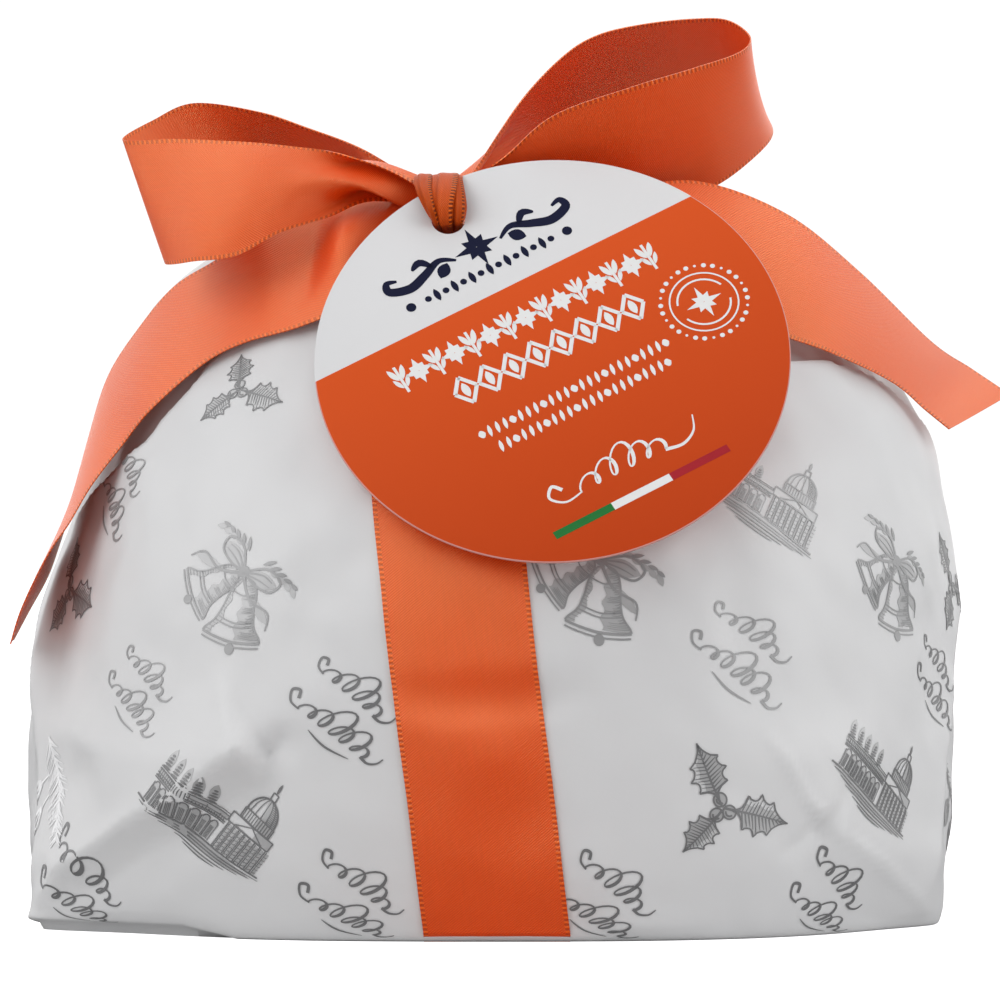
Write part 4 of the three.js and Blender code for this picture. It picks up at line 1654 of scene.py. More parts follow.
def pushed_out(surface: np.ndarray, tree: BVHTree, clear_mm: float) -> np.ndarray:
    """Move the points of a surface that lie in the paper to just outside it, and smooth the move.

    Args:
        surface: Rows and columns of points, in millimetres from the loaf's axis.
        tree: The paper in metres.
        clear_mm: The least distance outside.

    Returns:
        The cleared surface.
    """
    rows, columns = surface.shape[:2]
    for _ in range(3):
        shift = np.zeros_like(surface)
        need = np.zeros((rows, columns))
        for row in range(rows):
            for column in range(columns):
                point = Vector(surface[row, column] * MM + AXIS)
                spot, normal, _, _ = tree.find_nearest(point, 0.03)
                if spot is None:
                    continue
                outside = (point - spot).dot(normal) / MM
                if outside < clear_mm:
                    need[row, column] = clear_mm - outside
                    shift[row, column] = np.array(normal) * need[row, column]
        for _ in range(6):
            spread = shift.copy()
            spread[1:-1] = (shift[:-2] + 2 * shift[1:-1] + shift[2:]) / 4
            spread[:, 1:-1] = (spread[:, :-2] + 2 * spread[:, 1:-1] + spread[:, 2:]) / 4
            stronger = np.linalg.norm(spread, axis=-1) > np.linalg.norm(shift, axis=-1)
            shift = np.where(stronger[..., None], spread, shift)
        surface = surface + shift
        if need.max() < 0.05:
            break
    return surface


@dataclass
class Band:
    """The ribbon round the cake, from the knot down the front, under it, and up the back.

    The front line holds heights, sideways places and widths; the crown holds places along Y, sideways
    places and widths. The tree is the paper that it lies on, in metres.
    """

    tree: BVHTree
    front_line: tuple[Point, ...] = (
        (166, -13.5, 13), (157, -13.5, 24), (148, -13.5, 31), (138, -13.2, 35), (128, -12.6, 35),
        (116, -11.8, 35), (103, -10.7, 35), (88, -9, 35), (72, -7.3, 35), (54, -5.1, 35), (36, -2.7, 35),
        (20, -0.8, 35), (8, 0.6, 35), (2.4, 1.3, 35),
    )
    crown: tuple[Point, ...] = (
        (44, -5.6, 29), (30, -5.4, 27), (12, -5.8, 25), (-6, -7.6, 22), (-22, -10.4, 17), (-38, -12.8, 12),
    )
    foot_x: float = 1.4
    back_foot_y: float = 98.0
    back_slant: float = 0.5
    crown_width: float = 29.0
    crown_height: float = 175.0
    lift_mm: float = 0.45
    clear_mm: float = 0.3
    base_rows: int = 24
    per_point: int = 9

    def on_paper(self, spot: Point, way: Point) -> np.ndarray:
        """Where a ray meets the paper from outside, lifted off it.

        Args:
            spot: A point that it passes through.
            way: Its direction.

        Returns:
            The point in millimetres from the loaf's axis.
        """
        direction = Vector(way)
        start = Vector(np.array(spot) * MM + AXIS) - direction * 0.3
        hit, normal, _, _ = self.tree.ray_cast(start, direction)
        if hit is None:
            return np.array(spot)
        return (np.array(hit + normal * self.lift_mm * MM) - AXIS) / MM

    @staticmethod
    def across(x: float, width: float) -> np.ndarray:
        """The sideways places of a row across the band."""
        return x + width * (np.linspace(0, 1, RIBBON_COLUMNS) - 0.5)

    def build(self) -> Piece:
        """Make the band's mesh, and keep its length in metres.

        Returns:
            The piece.
        """
        front = dense(self.front_line, self.per_point)
        foot, back, over = [], [], []
        rows = [
            [self.on_paper((at, 0, height), (0, 1, 0)) for at in self.across(x, width)]
            for height, x, width in front
        ]
        floor = RIBBON_THICK_MM / 2 + 0.02
        front_foot_y = np.mean([point[1] for point in rows[-1]]) + 3
        for share in np.linspace(0, 1, self.base_rows):
            y = front_foot_y + (self.back_foot_y - front_foot_y) * share
            foot.append([(at, y, floor) for at in self.across(self.foot_x, RIBBON_MM)])
        for height, x, width in front[::-1]:
            middle = self.foot_x + (x - self.foot_x) * self.back_slant
            places = self.across(middle, max(width, self.crown_width))
            back.append([self.on_paper((at, 0, height), (0, -1, 0)) for at in places])
        for y, x, width in dense(self.crown, self.per_point):
            spots = [(at, y, self.crown_height) for at in self.across(x, width)]
            over.append([self.on_paper(spot, (0, 0, -1)) for spot in spots])
        surface = self.spanned(np.array([*rows, *foot, *back, *over]))
        for part in (slice(0, len(rows)), slice(len(rows) + len(foot), None)):
            surface[part] = pushed_out(surface[part], self.tree, self.clear_mm)
        self.length = float(run_of(surface[:, RIBBON_COLUMNS // 2])[-1]) * MM
        return ribbon_piece("ribbon_band_satin", surface)

    @staticmethod
    def spanned(surface: np.ndarray) -> np.ndarray:
        """Ease a surface's small dips, because ribbon spans the paper's.

        Args:
            surface: Rows and columns of points, which it changes.

        Returns:
            The same surface.
        """
        for _ in range(5):
            middle = (surface[:-2] + 2 * surface[1:-1] + surface[2:]) / 4
            out = np.linalg.norm(middle[..., :2], axis=-1) > np.linalg.norm(surface[1:-1, :, :2], axis=-1)
            surface[1:-1] = np.where(out[..., None] & (surface[1:-1, :, 2:3] > 4), middle, surface[1:-1])
        return surface


@dataclass(frozen=True)
class Strand:
    """One gathered strand of the wrap: its middle and half width at each point of the path."""

    name: str
    middles: tuple[float, ...]
    halves: tuple[float, ...]
    drop: float
    thick: float


@dataclass(frozen=True)
class Knot:
    """The bow's waist and the wrap that goes over it and through the tag's hole.

    The path holds the wrap's places along Y and heights, and half_thicks how thick it is at each.
    """

    path: tuple[Flat, ...] = (
        (-50, 184.6), (-58.2, 185.5), (-64.4, 182), (-67, 177.8), (-66, 174.6), (-62.4, 173.3),
        (-57.4, 171.6), (-50.4, 171.6), (-44.2, 173.6), (-41.4, 177.6), (-43.4, 182.6),
    )
    half_thicks: tuple[float, ...] = (0.7, 0.7, 0.8, 1.1, 1.4, 1.3, 0.9, 0.8, 0.8, 0.8, 0.7)
    strands: tuple[Strand, ...] = (
        Strand(
            "knot_wrap_main", (-11.2, -10.9, -11.2, -11.6, -11.4, -11, -10.6, -11, -11.4, -11.6, -11.6),
            (3.3, 3.5, 3.4, 2.8, 2.3, 1.9, 2.1, 2.8, 3, 3.1, 3.2), 0.0, 1.1,
        ),
        Strand(
            "knot_wrap_left", (-16.3, -16.6, -16.4, -15.2, -13.8, -13, -12.8, -14, -14.6, -15, -15.4),
            (2.3, 2.4, 2.1, 1.5, 1.1, 0.9, 1.2, 1.8, 2.1, 2.2, 2.3), -0.3, 1.25,
        ),
        Strand(
            "knot_wrap_right", (-8.8, -8.5, -8, -7.9, -8.1, -8.4, -8.8, -9.2, -9.4, -9.2, -9),
            (1, 1.1, 1.3, 1.7, 1.6, 1.3, 1.4, 1.6, 1.7, 1.6, 1.4), -0.55, 1.15,
        ),
    )
    steps: int = 120
    sides: int = 40
    pleats: int = 9
    fill: float = 0.97

    def strand(self, strand: Strand) -> Piece:
        """Make one strand as a closed strap with lengthwise gathers.

        Args:
            strand: Its place and size beside the wrap's own path.

        Returns:
            The piece.
        """
        where = np.linspace(0, len(self.path), self.steps, endpoint=False)
        stations = [(x, y, z) for x, (y, z) in zip(strand.middles, self.path)]
        path = catmull(np.array(stations, dtype=float), where, True)
        wide = catmull(np.array(strand.halves)[:, None], where, True)[:, None]
        thick = catmull(np.array(self.half_thicks)[:, None], where, True)[:, None] * strand.thick
        along = unit(np.roll(path, -1, axis=0) - np.roll(path, 1, axis=0))
        out = unit(np.cross(along, np.array([1.0, 0, 0])))
        across = unit(np.cross(out, along))
        centre = path + out * strand.drop
        angle = np.linspace(0, 2 * math.pi, self.sides, endpoint=False)[None, :, None]
        groove = 1 + 0.1 * np.cos(6 * angle + 0.7)
        offset = across[:, None] * np.cos(angle) * wide + out[:, None] * np.sin(angle) * thick
        points = centre[:, None] + offset * groove
        piece = mesh_piece(strand.name, points.reshape(-1, 3), grid_faces(self.steps, self.sides, True, True))
        self.map_strand(piece, path)
        turned_out(piece)
        smooth(piece, 70)
        return piece

    def map_strand(self, piece: Piece, path: np.ndarray) -> None:
        """Write the weave map round a strand, so that a woven edge runs along its front; in the knot's darker
        satin that edge is near black, painted shade.

        Args:
            piece: The strand.
            path: The points along its middle, one for each row of the mesh.
        """
        layer = piece.data.uv_layers.new(name=WEAVE_MAP)
        along = run_of(path) * MM
        edge, reach, front = RIBBON_MM * MM, 0.0125, 0.3
        for loop in piece.data.loops:
            row, side = divmod(loop.vertex_index, self.sides)
            turn = 2 * side / self.sides
            fold = turn if turn <= 1 else 2 - turn
            layer.data[loop.index].uv = (along[row], edge - reach * abs(fold - front))

    def waist(self) -> Piece:
        """Make the gathered waist: a rounded lump with pleats that run through it.

        Returns:
            The piece.
        """
        low, high = (np.array(corner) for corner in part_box("bow_knot"))
        centre, size = (low + high) / 2, (high - low) / 2 * self.fill
        piece = primitive("uv_sphere", "bow_waist", segments=64, ring_count=32, radius=1.0)
        for vertex in piece.data.vertices:
            turn = math.atan2(vertex.co.z, vertex.co.y)
            fold = 1 + 0.055 * math.cos(self.pleats * turn + 2.0 * vertex.co.x)
            vertex.co = Vector(centre + np.array(vertex.co) * size * (1, fold, fold))
        layer = piece.data.uv_layers[0]
        layer.name = WEAVE_MAP
        for loop in layer.data:
            loop.uv = (loop.uv[0] * 0.03, 0.002 + loop.uv[1] * 0.03)
        smooth(piece, 80)
        return piece


# ---- The tag ----


@dataclass(frozen=True)
class Tag:
    """The round card tag and its print, drawn in its own plane and then hung in place."""

    radius: float = 57.6
    thick: float = 0.6
    hole: Flat = (-2.0, 47.5)
    hole_radius: float = 4.1
    edge_mm: float = 0.12
    centre: Point = (14.7, -85.8, 140.0)
    lean_back: float = math.radians(31)
    yaw: float = math.radians(-3.1)
    turn: float = math.radians(27.1)
    print_lift: float = 0.035
    print_thick: float = 0.03

    def hang(self, points: np.ndarray) -> np.ndarray:
        """Turn points of the tag's own plane to where the tag hangs.

        Args:
            points: Rows of x along the tag's lines, y up it and z out of its face.

        Returns:
            Rows in millimetres from the loaf's axis.
        """
        spin = Matrix.Rotation(self.turn, 3, "Z")
        lean = Matrix.Rotation(math.pi / 2 - self.lean_back, 3, "X")
        yaw = Matrix.Rotation(self.yaw, 3, "Y")
        return points @ np.array(yaw @ lean @ spin).T + np.array(self.centre)

    def disc(self) -> Piece:
        """Make the card: a disc with a punched hole and softened edges.

        Returns:
            The piece.
        """
        radius, depth = self.radius * MM, self.thick * MM
        card = primitive("cylinder", "tag_card_disc", vertices=160, radius=radius, depth=depth)
        spot = (self.hole[0] * MM, self.hole[1] * MM, 0)
        radius = self.hole_radius * MM
        punch = primitive("cylinder", "punch", vertices=48, radius=radius, depth=0.01, location=spot)
        apply_modifier(card, "BOOLEAN", object=punch, operation="DIFFERENCE", solver="EXACT")
        bpy.data.objects.remove(punch)
        apply_modifier(card, "BEVEL", width=self.edge_mm * MM, segments=2, limit_method="ANGLE")
        apply_modifier(card, "TRIANGULATE")
        layer = card.data.uv_layers[0]
        layer.name = WEAVE_MAP
        for loop in card.data.loops:
            layer.data[loop.index].uv = card.data.vertices[loop.vertex_index].co.xy
        for vertex in card.data.vertices:
            vertex.co = self.hang(np.array(vertex.co) / MM) * MM + AXIS
        card.data.update()
        smooth(card, 30)
        return card

    def printed(self, name: str, sketch: Sketch) -> Piece:
        """Make a printed layer from a sketch in the tag's plane.

        Args:
            name: The piece's name.
            sketch: The line work.

        Returns:
            The thin closed layer on the tag's face.
        """
        points, faces = [], []
        for strip in sketch.strips:
            faces += strip_faces(len(points), len(strip))
            points += [(x, y, self.thick / 2 + self.print_lift) for x, y in strip.reshape(-1, 2)]
        piece = mesh_piece(name, self.hang(np.array(points)), faces)
        turn_away(piece, self.hang(np.array([0, 0, -self.thick])))
        apply_modifier(piece, "SOLIDIFY", thickness=self.print_thick * MM, offset=0.0)
        return piece


def star(reach: float, points: int = 8, wide: float = 0.3) -> Sketch:
    """A star with long and short arms in turn, as one flat shape.

    Args:
        reach: Its longest arm.
        points: Its arms.
        wide: How far the notches lie from the middle, as a share of the reach.

    Returns:
        The star, round the origin.
    """
    sketch = Sketch()
    strip = []
    for corner in range(2 * points + 1):
        angle = math.pi * corner / points
        length = reach * wide if corner % 2 else reach * (1.0 if corner % 4 == 0 else 0.66)
        way = (math.cos(angle), math.sin(angle))
        strip.append(((way[0] * length, way[1] * length), (way[0] * 0.1, way[1] * 0.1)))
    sketch.strip(strip)
    return sketch


def scroll(length: float, width: float, flip: int) -> Sketch:
    """A curled scroll that runs from the middle to one side.

    Args:
        length: Its reach.
        width: Its widest stroke.
        flip: 1 for the right and -1 for the left.

    Returns:
        The scroll, from the origin.
    """

    def at(*points: Flat) -> list[Flat]:
        """Points of the scroll, given for a length of one."""
        return [(x * length * flip, y * length) for x, y in points]

    sketch = Sketch()
    curl = at((0, 0), (0.2, 0.1), (0.45, 0), (0.7, -0.08), (0.95, 0), (0.93, 0.13), (0.8, 0.1))
    sketch.stroke(curl, width, None, 7)
    sketch.stroke(at((0.3, 0.06), (0.42, 0.2), (0.56, 0.14)), width * 0.8, None, 5)
    sketch.leaf(*at((0.12, 0.02), (0.3, -0.14)), width * 1.3, 6)
    return sketch


@dataclass(frozen=True)
class TagPrint:
    """What is printed on the tag: plain ornaments in rows, a seal and a three-colour bar."""

    bar_y: float = -43.9
    bar_left: float = -24.7
    bar_right: float = 23.3
    bar_height: float = 2.1
    seal_at: Flat = (39.6, -5.2)

    @staticmethod
    def navy() -> Sketch:
        """The ornament on the white cap: a star between two scrolls, over a dotted rule.

        Returns:
            The sketch, in the tag's plane.
        """
        sketch = Sketch()
        sketch.add(star(6.0, 8, 0.42), (0, 37.0))
        for flip in (1, -1):
            sketch.add(scroll(19.5, 2.5, flip), (6.2 * flip, 36.2))
            sketch.dot((21.9 * flip - 0.5, 29.8), 1.25, 12)
        for step in range(15):
            x = -17.6 + step * 2.46
            if step % 2:
                sketch.leaf((x, 27.9), (x, 31.7), 1.5, 6)
            else:
                sketch.dot((x, 29.8), 0.85, 8)
        return sketch

    def white(self) -> Sketch:
        """The ornaments on the orange part.

        Returns:
            The sketch, in the tag's plane.
        """
        sketch = Sketch()
        for step in range(15):
            x = -34.6 + step * 4.95
            if step % 2:
                sketch.add(star(3.9, 8, 0.5), (x, 13.0))
            else:
                for flip in (1, -1):
                    sketch.leaf((x + 0.5 * flip, 12.8), (x + 2.0 * flip, 16.8), 1.4, 6)
                    sketch.leaf((x + 0.5 * flip, 10.4), (x + 2.0 * flip, 13.6), 1.1, 6)
                sketch.line((x, 8.9), (x, 16.9), 0.75)
        for step in range(8):
            x = -22.6 + step * 6.65
            sketch.outline([(x - 3.0, 2.4), (x, 6.4), (x + 3.0, 2.4), (x, -1.6)], 1.0)
            sketch.leaf((x, 0.2), (x, 4.6), 2.0, 6)
        for row, (y, half) in enumerate(((-10.6, 26.6), (-15.7, 24.2))):
            count = int(half / 1.05)
            for step in range(count):
                x = -half + 2 * half * (step + 0.5) / count
                if (step + 2 * row) % 4 == 0:
                    sketch.leaf((x - 0.95, y), (x + 0.95, y), 2.2, 6)
                else:
                    sketch.leaf((x - 0.3, y - 1.7), (x + 0.3, y + 1.7), 1.0, 6)
        sketch.add(pen_loops((3.6, 5.4, 7.4, 5.4, 3.6), 4.6, 0.95), (-1.4, -36.6))
        curl = [(-12.9, -36.6), (-17.6, -37.2), (-20.6, -34.4), (-18.6, -31.8), (-16.8, -33.8)]
        sketch.stroke(curl, 0.4, 1.0, 7)
        sketch.stroke([(10.1, -36.6), (14.6, -37.4), (18.6, -35.4), (20.6, -31.4)], 1.0, 0.3, 7)
        sketch.add(self.seal(), self.seal_at)
        return sketch

    @staticmethod
    def seal() -> Sketch:
        """The round seal: a star in two rings with beads round them.

        Returns:
            The seal, round the origin.
        """
        sketch = Sketch()
        sketch.ring((0, 0), 8.4, 0.42)
        for start in (20, 200):
            sketch.ring((0, 0), 6.5, 0.5, start, 140)
        for bead in range(30):
            angle = 2 * math.pi * bead / 30
            sketch.dot((10.6 * math.cos(angle), 10.6 * math.sin(angle)), 0.62 if bead % 3 else 0.36, 6)
        sketch.add(star(4.8, 8, 0.4), (0, 0))
        return sketch

    def bar(self, left: float, right: float) -> Sketch:
        """A stretch of the three-colour bar.

        Args:
            left: Where it starts, as a share of the bar.
            right: Where it ends.

        Returns:
            The stretch.
        """
        sketch = Sketch()
        start, finish = (self.bar_left + (self.bar_right - self.bar_left) * share for share in (left, right))
        sketch.line((start, self.bar_y), (finish, self.bar_y), self.bar_height)
        return sketch


# ---- The cake inside ----


@dataclass(frozen=True)
class Cake:
    """The loaf in its fluted case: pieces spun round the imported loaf's axis."""

    profile: tuple[Flat, ...] = (
        (0, 3.9), (92, 3.9), (95.2, 6), (96.8, 24), (97.8, 48), (98.6, 74), (100.1, 83), (99.1, 94),
        (93.6, 106), (81.6, 117), (61.8, 126.3), (34, 132.2), (0, 133.8),
    )
    dome_mm: float = 80.0
    cut_reach: float = 70.0
    cut_depth: float = 4.0
    case_low: float = 2.7
    case_high: float = 72.0
    case_radius: float = 97.0
    case_flare: float = 3.1
    case_thick: float = 0.55
    case_floor: float = 3.4
    flutes: int = 60
    flute_depth: float = 0.12

    @staticmethod
    def spun(name: str, profile: Sequence[Flat], steps: int = 96) -> Piece:
        """Spin a profile round the loaf's axis.

        Args:
            name: The piece's name.
            profile: Radii and heights.
            steps: Steps round the axis.

        Returns:
            The piece, closed.
        """
        points = [(radius, 0, height) for radius, height in profile]
        piece = mesh_piece(name, points, edges=[(i, i + 1) for i in range(len(points) - 1)])
        only(piece)
        bpy.ops.object.mode_set(mode="EDIT")
        bpy.ops.mesh.select_all(action="SELECT")
        bpy.ops.mesh.spin(steps=steps, angle=2 * math.pi, center=tuple(AXIS), axis=(0, 0, 1))
        bpy.ops.mesh.select_all(action="SELECT")
        bpy.ops.mesh.remove_doubles(threshold=0.00001)
        bpy.ops.object.mode_set(mode="OBJECT")
        turned_out(piece)
        return piece

    def loaf(self) -> Piece:
        """Make the loaf with an uneven dome and the cross cut before baking.

        Returns:
            The piece.
        """
        outline = dense(self.profile, 5)
        outline[:, 0] = np.maximum(outline[:, 0], 0)
        outline[0, 0] = outline[-1, 0] = 0
        piece = self.spun("loaf_crust", [tuple(point) for point in outline])
        for vertex in piece.data.vertices:
            x, y, z = (np.array(vertex.co) - AXIS) / MM
            if z < self.dome_mm:
                continue
            weight = min(1, (z - self.dome_mm) / 20)
            lump = math.sin(x * 0.07 + 1) * math.cos(y * 0.06) + 0.5 * math.sin(x * 0.15 - y * 0.13)
            cut = math.exp(-min(abs(x), abs(y)) / 3.0) * max(0, 1 - math.hypot(x, y) / self.cut_reach)
            vertex.co.z += weight * (0.6 * lump - 0.9 - self.cut_depth * cut) * MM
        smooth(piece, 60)
        return piece

    def case(self) -> Piece:
        """Make the fluted baking case.

        Returns:
            The piece.
        """
        low, high, floor = self.case_low, self.case_high, self.case_floor
        flare = self.case_flare / (high - low)
        outer = [(self.case_radius + flare * (z - low), z) for z in np.linspace(low, high, 12)]
        inner = [(radius - self.case_thick, max(z, floor)) for radius, z in outer[::-1]]
        base, top = [(0, low + 0.05), (60, low + 0.05)], [(60, floor), (0, floor)]
        piece = self.spun("fluted_case", [*base, *outer, *inner, *top], 4 * self.flutes)
        for vertex in piece.data.vertices:
            x, y, _ = (np.array(vertex.co) - AXIS) / MM
            radius = math.hypot(x, y)
            if radius > 90:
                flute = 1 + self.flute_depth * math.cos(self.flutes * math.atan2(y, x)) / radius
                vertex.co.x, vertex.co.y = AXIS[0] + x * flute * MM, AXIS[1] + y * flute * MM
        smooth(piece, 50)
        return piece


@dataclass(frozen=True)
class FilmBag:
    """The clear bag round the cake: a base disc and a tube drawn together in a tied neck."""

    profile: tuple[Flat, ...] = (
        (0, 2.1), (60, 2.1), (93.4, 2.15), (98.0, 5.4), (100.4, 40), (101.4, 74), (101.8, 84), (100.6, 95.4),
        (94.8, 107.7), (82.8, 119), (62.5, 128.4), (36.1, 134.8), (14.1, 141.2), (5.2, 148), (3.4, 156),
        (5.6, 166),
    )
    flat_m: Flat = (0.645, 0.33)
    cut_m2: float = 0.176
    film_mm: float = 0.06
    sides: int = 200
    rows: int = 120
    fold_count: int = 17
    gather_from: float = 96.0
    gather_mm: float = 45.0
    neck_mm: float = 156.0
    wire_mm: float = 0.95
    end_mm: float = 7.0

    def build(self) -> Piece:
        """Make the bag with folds that run down from its neck and a fine crinkle.

        Returns:
            The piece.
        """
        profile = np.array(self.profile, dtype=float)
        draw = random.Random(21)
        angle = np.linspace(0, 2 * math.pi, self.sides, endpoint=False)
        folds = np.zeros(self.sides)
        for fold in range(self.fold_count):
            centre = 2 * math.pi * (fold + draw.uniform(-0.3, 0.3)) / self.fold_count
            off = (angle - centre + math.pi) % (2 * math.pi) - math.pi
            folds += draw.uniform(0.6, 1.0) * np.exp(-((off / 0.09) ** 2))
        rows = []
        for radius, height in catmull(profile, np.linspace(0, len(profile) - 1, self.rows)):
            radius = max(radius, 0.4)
            gather = min(max((height - self.gather_from) / self.gather_mm, 0), 1)
            crinkle = 0.12 * np.sin(23 * angle + height * 0.4) * np.sin(height * 0.21 + 3 * angle)
            deep = min(0.16 * radius, 1.5) * gather
            reach = radius - deep * folds + (crinkle if radius > 20 else 0) - 0.15
            level = np.full(self.sides, height)
            rows.append(np.stack([reach * np.cos(angle), reach * np.sin(angle), level], axis=1))
        faces = grid_faces(len(rows), self.sides, True)
        faces.append(tuple(range(self.sides - 1, -1, -1)))
        piece = mesh_piece("film_bag", np.concatenate(rows), faces)
        apply_modifier(piece, "SOLIDIFY", thickness=self.film_mm * MM, offset=-1.0)
        smooth(piece, 50)
        return piece

    def tie(self) -> Piece:
        """Make the wire tie: a turn round the neck and two twisted ends.

        Returns:
            The piece.
        """
        neck = AXIS + np.array([0, 0, self.neck_mm * MM])
        ends = []
        for flip in (1, -1):
            spot = neck + np.array([2.2 * flip, -6.0, 1.2 * flip]) * MM
            sizes = {"vertices": 16, "radius": 0.75 * MM, "depth": self.end_mm * MM, "location": spot}
            ends.append(primitive("cylinder", "tie_end", rotation=(1.35, 0.9 * flip, 0), **sizes))
        sizes = {"major_radius": 5.3 * MM, "minor_radius": self.wire_mm * MM}
        tie = primitive("torus", "wire_tie", location=neck, major_segments=64, minor_segments=14, **sizes)
        only(*ends, tie)
        bpy.ops.object.join()
        bpy.ops.object.transform_apply(location=True, rotation=True, scale=True)
        smooth(tie, 40)
        return tie


# ---- The stage ----


@dataclass(frozen=True)
class Studio:
    """Camera, soft lights and a plain pale floor."""

    distance_mm: float = 1400.0
    height_mm: float = 105.5
    sideways_mm: float = 2.06
    scale_mm: float = 0.2575
    sensor_mm: float = 36.0
    image_side: int = 1000
    ambient: float = 0.25
    front: float = 0.6
    gloss: float = 1.5

    def camera(self) -> None:
        """Stand the camera level with the cake's middle, in front of it."""
        data = bpy.data.cameras.new("camera")
        data.sensor_width = self.sensor_mm
        data.lens = self.distance_mm / self.scale_mm / self.image_side * self.sensor_mm
        data.clip_end = 20
        camera = bpy.data.objects.new("camera", data)
        camera.location = np.array([self.sideways_mm, -self.distance_mm, self.height_mm]) * MM + AXIS
        camera.rotation_euler = (math.pi / 2, 0, 0)
        bpy.context.scene.collection.objects.link(camera)
        bpy.context.scene.camera = camera

    def softbox(self, name: str, spot: Point, aim: Point, size: float, power: float) -> None:
        """Add a square area light.

        Args:
            name: The light's name.
            spot: Where it stands, in metres.
            aim: What it points at, in metres.
            size: Its side in metres.
            power: Its power in watts.
        """
        data = bpy.data.lights.new(name, "AREA")
        data.size = size
        data.energy = power
        light = bpy.data.objects.new(name, data)
        light.location = spot
        light.rotation_euler = (Vector(aim) - Vector(spot)).to_track_quat("-Z", "Y").to_euler()
        bpy.context.scene.collection.objects.link(light)

    def lights(self) -> None:
        """Light the cake from the left, with a weaker fill and a top light."""
        self.softbox("key", (-1.35, -0.85, 1.15), (0, 0, 0.12), 1.5, 15.5)
        self.softbox("fill", (1.6, -0.6, 0.8), (0, 0, 0.12), 1.4, 13.5)
        self.softbox("top", (0.0, -0.1, 1.8), (0, 0, 0.1), 1.2, 6.0)
        bpy.context.scene.world = bpy.data.worlds.new("world")
        self.sky(bpy.context.scene.world)

    def sky(self, world: bpy.types.World) -> None:
        """Make the surroundings white to the camera and dimmer as light and in reflections.

        Args:
            world: The world.
        """
        tree = NodeTree("sky")
        bpy.data.materials.remove(tree.material)
        tree.use(world)
        seen = tree.nodes["Background"]
        seen.inputs["Color"].default_value = rgb(1, 1, 1)
        seen.inputs["Strength"].default_value = 1.05
        parts = tree.add("ShaderNodeSeparateXYZ")
        tree.join(tree.add("ShaderNodeTexCoord").outputs["Generated"], parts.inputs[0])
        levels = []
        for start, end, low, top in ((-1.0, -0.1, self.front, self.ambient), (-0.85, -0.35, 0.0, self.gloss)):
            level = tree.add("ShaderNodeMapRange", in_From_Min=start, in_From_Max=end)
            tree.feed(level, {"Value": parts.outputs[1], "To Min": low, "To Max": top})
            levels.append(level.outputs[0])
        ray = tree.add("ShaderNodeLightPath").outputs
        choice, lit = tree.add("ShaderNodeMix"), tree.add("ShaderNodeBackground", in_Color=rgb(1, 1, 1))
        tree.feed(choice, {"Factor": ray["Is Glossy Ray"], "A": levels[0], "B": levels[1]})
        tree.join(choice.outputs["Result"], lit.inputs["Strength"])
        mix = tree.add("ShaderNodeMixShader")
        tree.feed(mix, {0: ray["Is Camera Ray"], 1: lit.outputs[0], 2: seen.outputs[0]})
        tree.join(mix.outputs[0], tree.nodes["World Output"].inputs["Surface"])

    def floor(self, material: Material) -> None:
        """Lay the floor.

        Args:
            material: Its finish.
        """
        floor = primitive("plane", "floor", size=12.0)
        floor.data.materials.append(material)

    def set_up(self, material: Material) -> None:
        """Set up the whole stage.

        Args:
            material: The floor's finish.
        """
        self.camera()
        self.lights()
        self.floor(material)
        bpy.context.scene.view_settings.view_transform = "Standard"


# ---- Putting it together ----


def tree_of(piece: Piece) -> BVHTree:
    """A search tree of a piece's mesh, in metres."""
    data = piece.data
    points = [vertex.co.copy() for vertex in data.vertices]
    return BVHTree.FromPolygons(points, [tuple(face.vertices) for face in data.polygons])


def wrap_the_cake(palette: Palette) -> BVHTree:
    """Build the paper and its print.

    Args:
        palette: The finishes.

    Returns:
        The paper's search tree.
    """
    paper = Paper()
    wrapper = paper.build()
    dress(wrapper, palette.paper, "wrapping_paper", "wrapper")
    for tone, piece in PaperPrint(paper).build().items():
        dress(piece, palette.foils[tone], "wrapping_paper")
    return tree_of(wrapper)


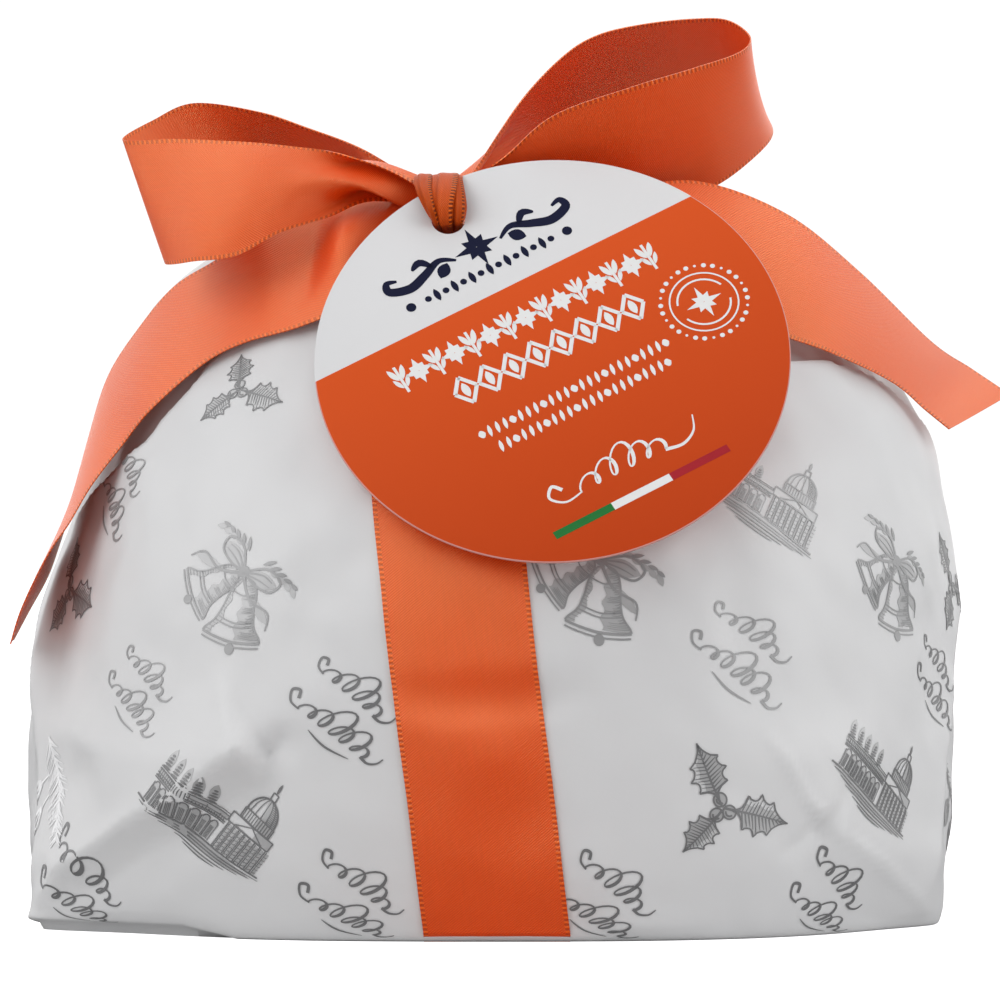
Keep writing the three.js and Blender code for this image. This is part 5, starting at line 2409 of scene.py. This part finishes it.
def tie_the_ribbon(palette: Palette, tree: BVHTree) -> None:
    """Build the band, the bow and the knot.

    Args:
        palette: The finishes.
        tree: The paper's search tree.
    """
    band = Band(tree)
    piece = band.build()
    dress(piece, palette.satin, "satin", "ribbon_band")
    stretches = (
        Ribbon("bow_loop_right", RIGHT_LOOP, 2, 0.1, (0, -1.5, -2, -1, 0, 1.8, 1.2, 0, -1, -1, 0)),
        Ribbon(
            "bow_loop_left", LEFT_LOOP, 1.5, 0.5,
            (0, 1, 2.6, 2.4, 1.2, 0.2, 0, 0, 0.6, 1, 0.6, 0),
            (Ripple(40, 54, 1.3, 9, 14), Ripple(9, 30, -1.4, 9, 10)),
        ),
        Ribbon(
            "bow_tail_left", LEFT_TAIL, 1.25, 0.9, (0.6, 1, 0, 0, 0.8, 1, 1, 1, 0.8, 0.3, 0.2),
            (Ripple(15, 29, 4.4, 8, 6, 0.45, 0.34), Ripple(25, 40, -2.4, 5, 9, 0.45, 0.36)),
        ),
        Ribbon("bow_tail_right", RIGHT_TAIL, 2, 0.2, (0, -1, -1.6, -1.6, -1.0, -0.6, 0.4)),
    )
    for stretch in stretches:
        piece = stretch.build(tree)
        dress(piece, palette.satin, "satin", stretch.node)
        stretch.length()
    knot = Knot()
    dress(knot.waist(), palette.satin, "satin", "bow_knot")
    for strand in knot.strands:
        # The strands take the knot's darker satin copy, painted shade.
        dress(knot.strand(strand), palette.wrap, "satin", "knot_wrap")


def hang_the_tag(palette: Palette) -> None:
    """Build the tag and its print.

    Args:
        palette: The finishes.
    """
    tag, ink = Tag(), TagPrint()
    dress(tag.disc(), palette.card, "tag_card", "tag")
    layers = (
        ("tag_print_navy", ink.navy(), palette.navy),
        ("tag_print_white", ink.white(), palette.white_ink),
        ("tag_bar_green", ink.bar(0, 1 / 3), palette.green_ink),
        ("tag_bar_white", ink.bar(1 / 3, 2 / 3), palette.white_ink),
        ("tag_bar_red", ink.bar(2 / 3, 1), palette.red_ink),
    )
    for name, sketch, colour in layers:
        dress(tag.printed(name, sketch), colour, "tag_card")


def fill_the_parcel(palette: Palette) -> None:
    """Build the loaf in its case, and the tied bag round them.

    Args:
        palette: The finishes.
    """
    cake = Cake()
    dress(cake.loaf(), palette.crust, "bread", "loaf")
    dress(cake.case(), palette.baking_paper, "baking_paper", "baking_case")
    bag = FilmBag()
    film = bag.build()
    dress(film, palette.film, "film", "inner_bag")
    dress(bag.tie(), palette.tie_foil, "twist_wire", "bag_tie")


def main() -> None:
    """Build the whole cake; each piece's face count is logged."""
    logging.basicConfig(level=logging.INFO, format="%(message)s")
    palette = Palette()
    Studio().set_up(palette.stage)
    tree = wrap_the_cake(palette)
    tie_the_ribbon(palette, tree)
    hang_the_tag(palette)
    fill_the_parcel(palette)


if __name__ == "__main__":
    main()
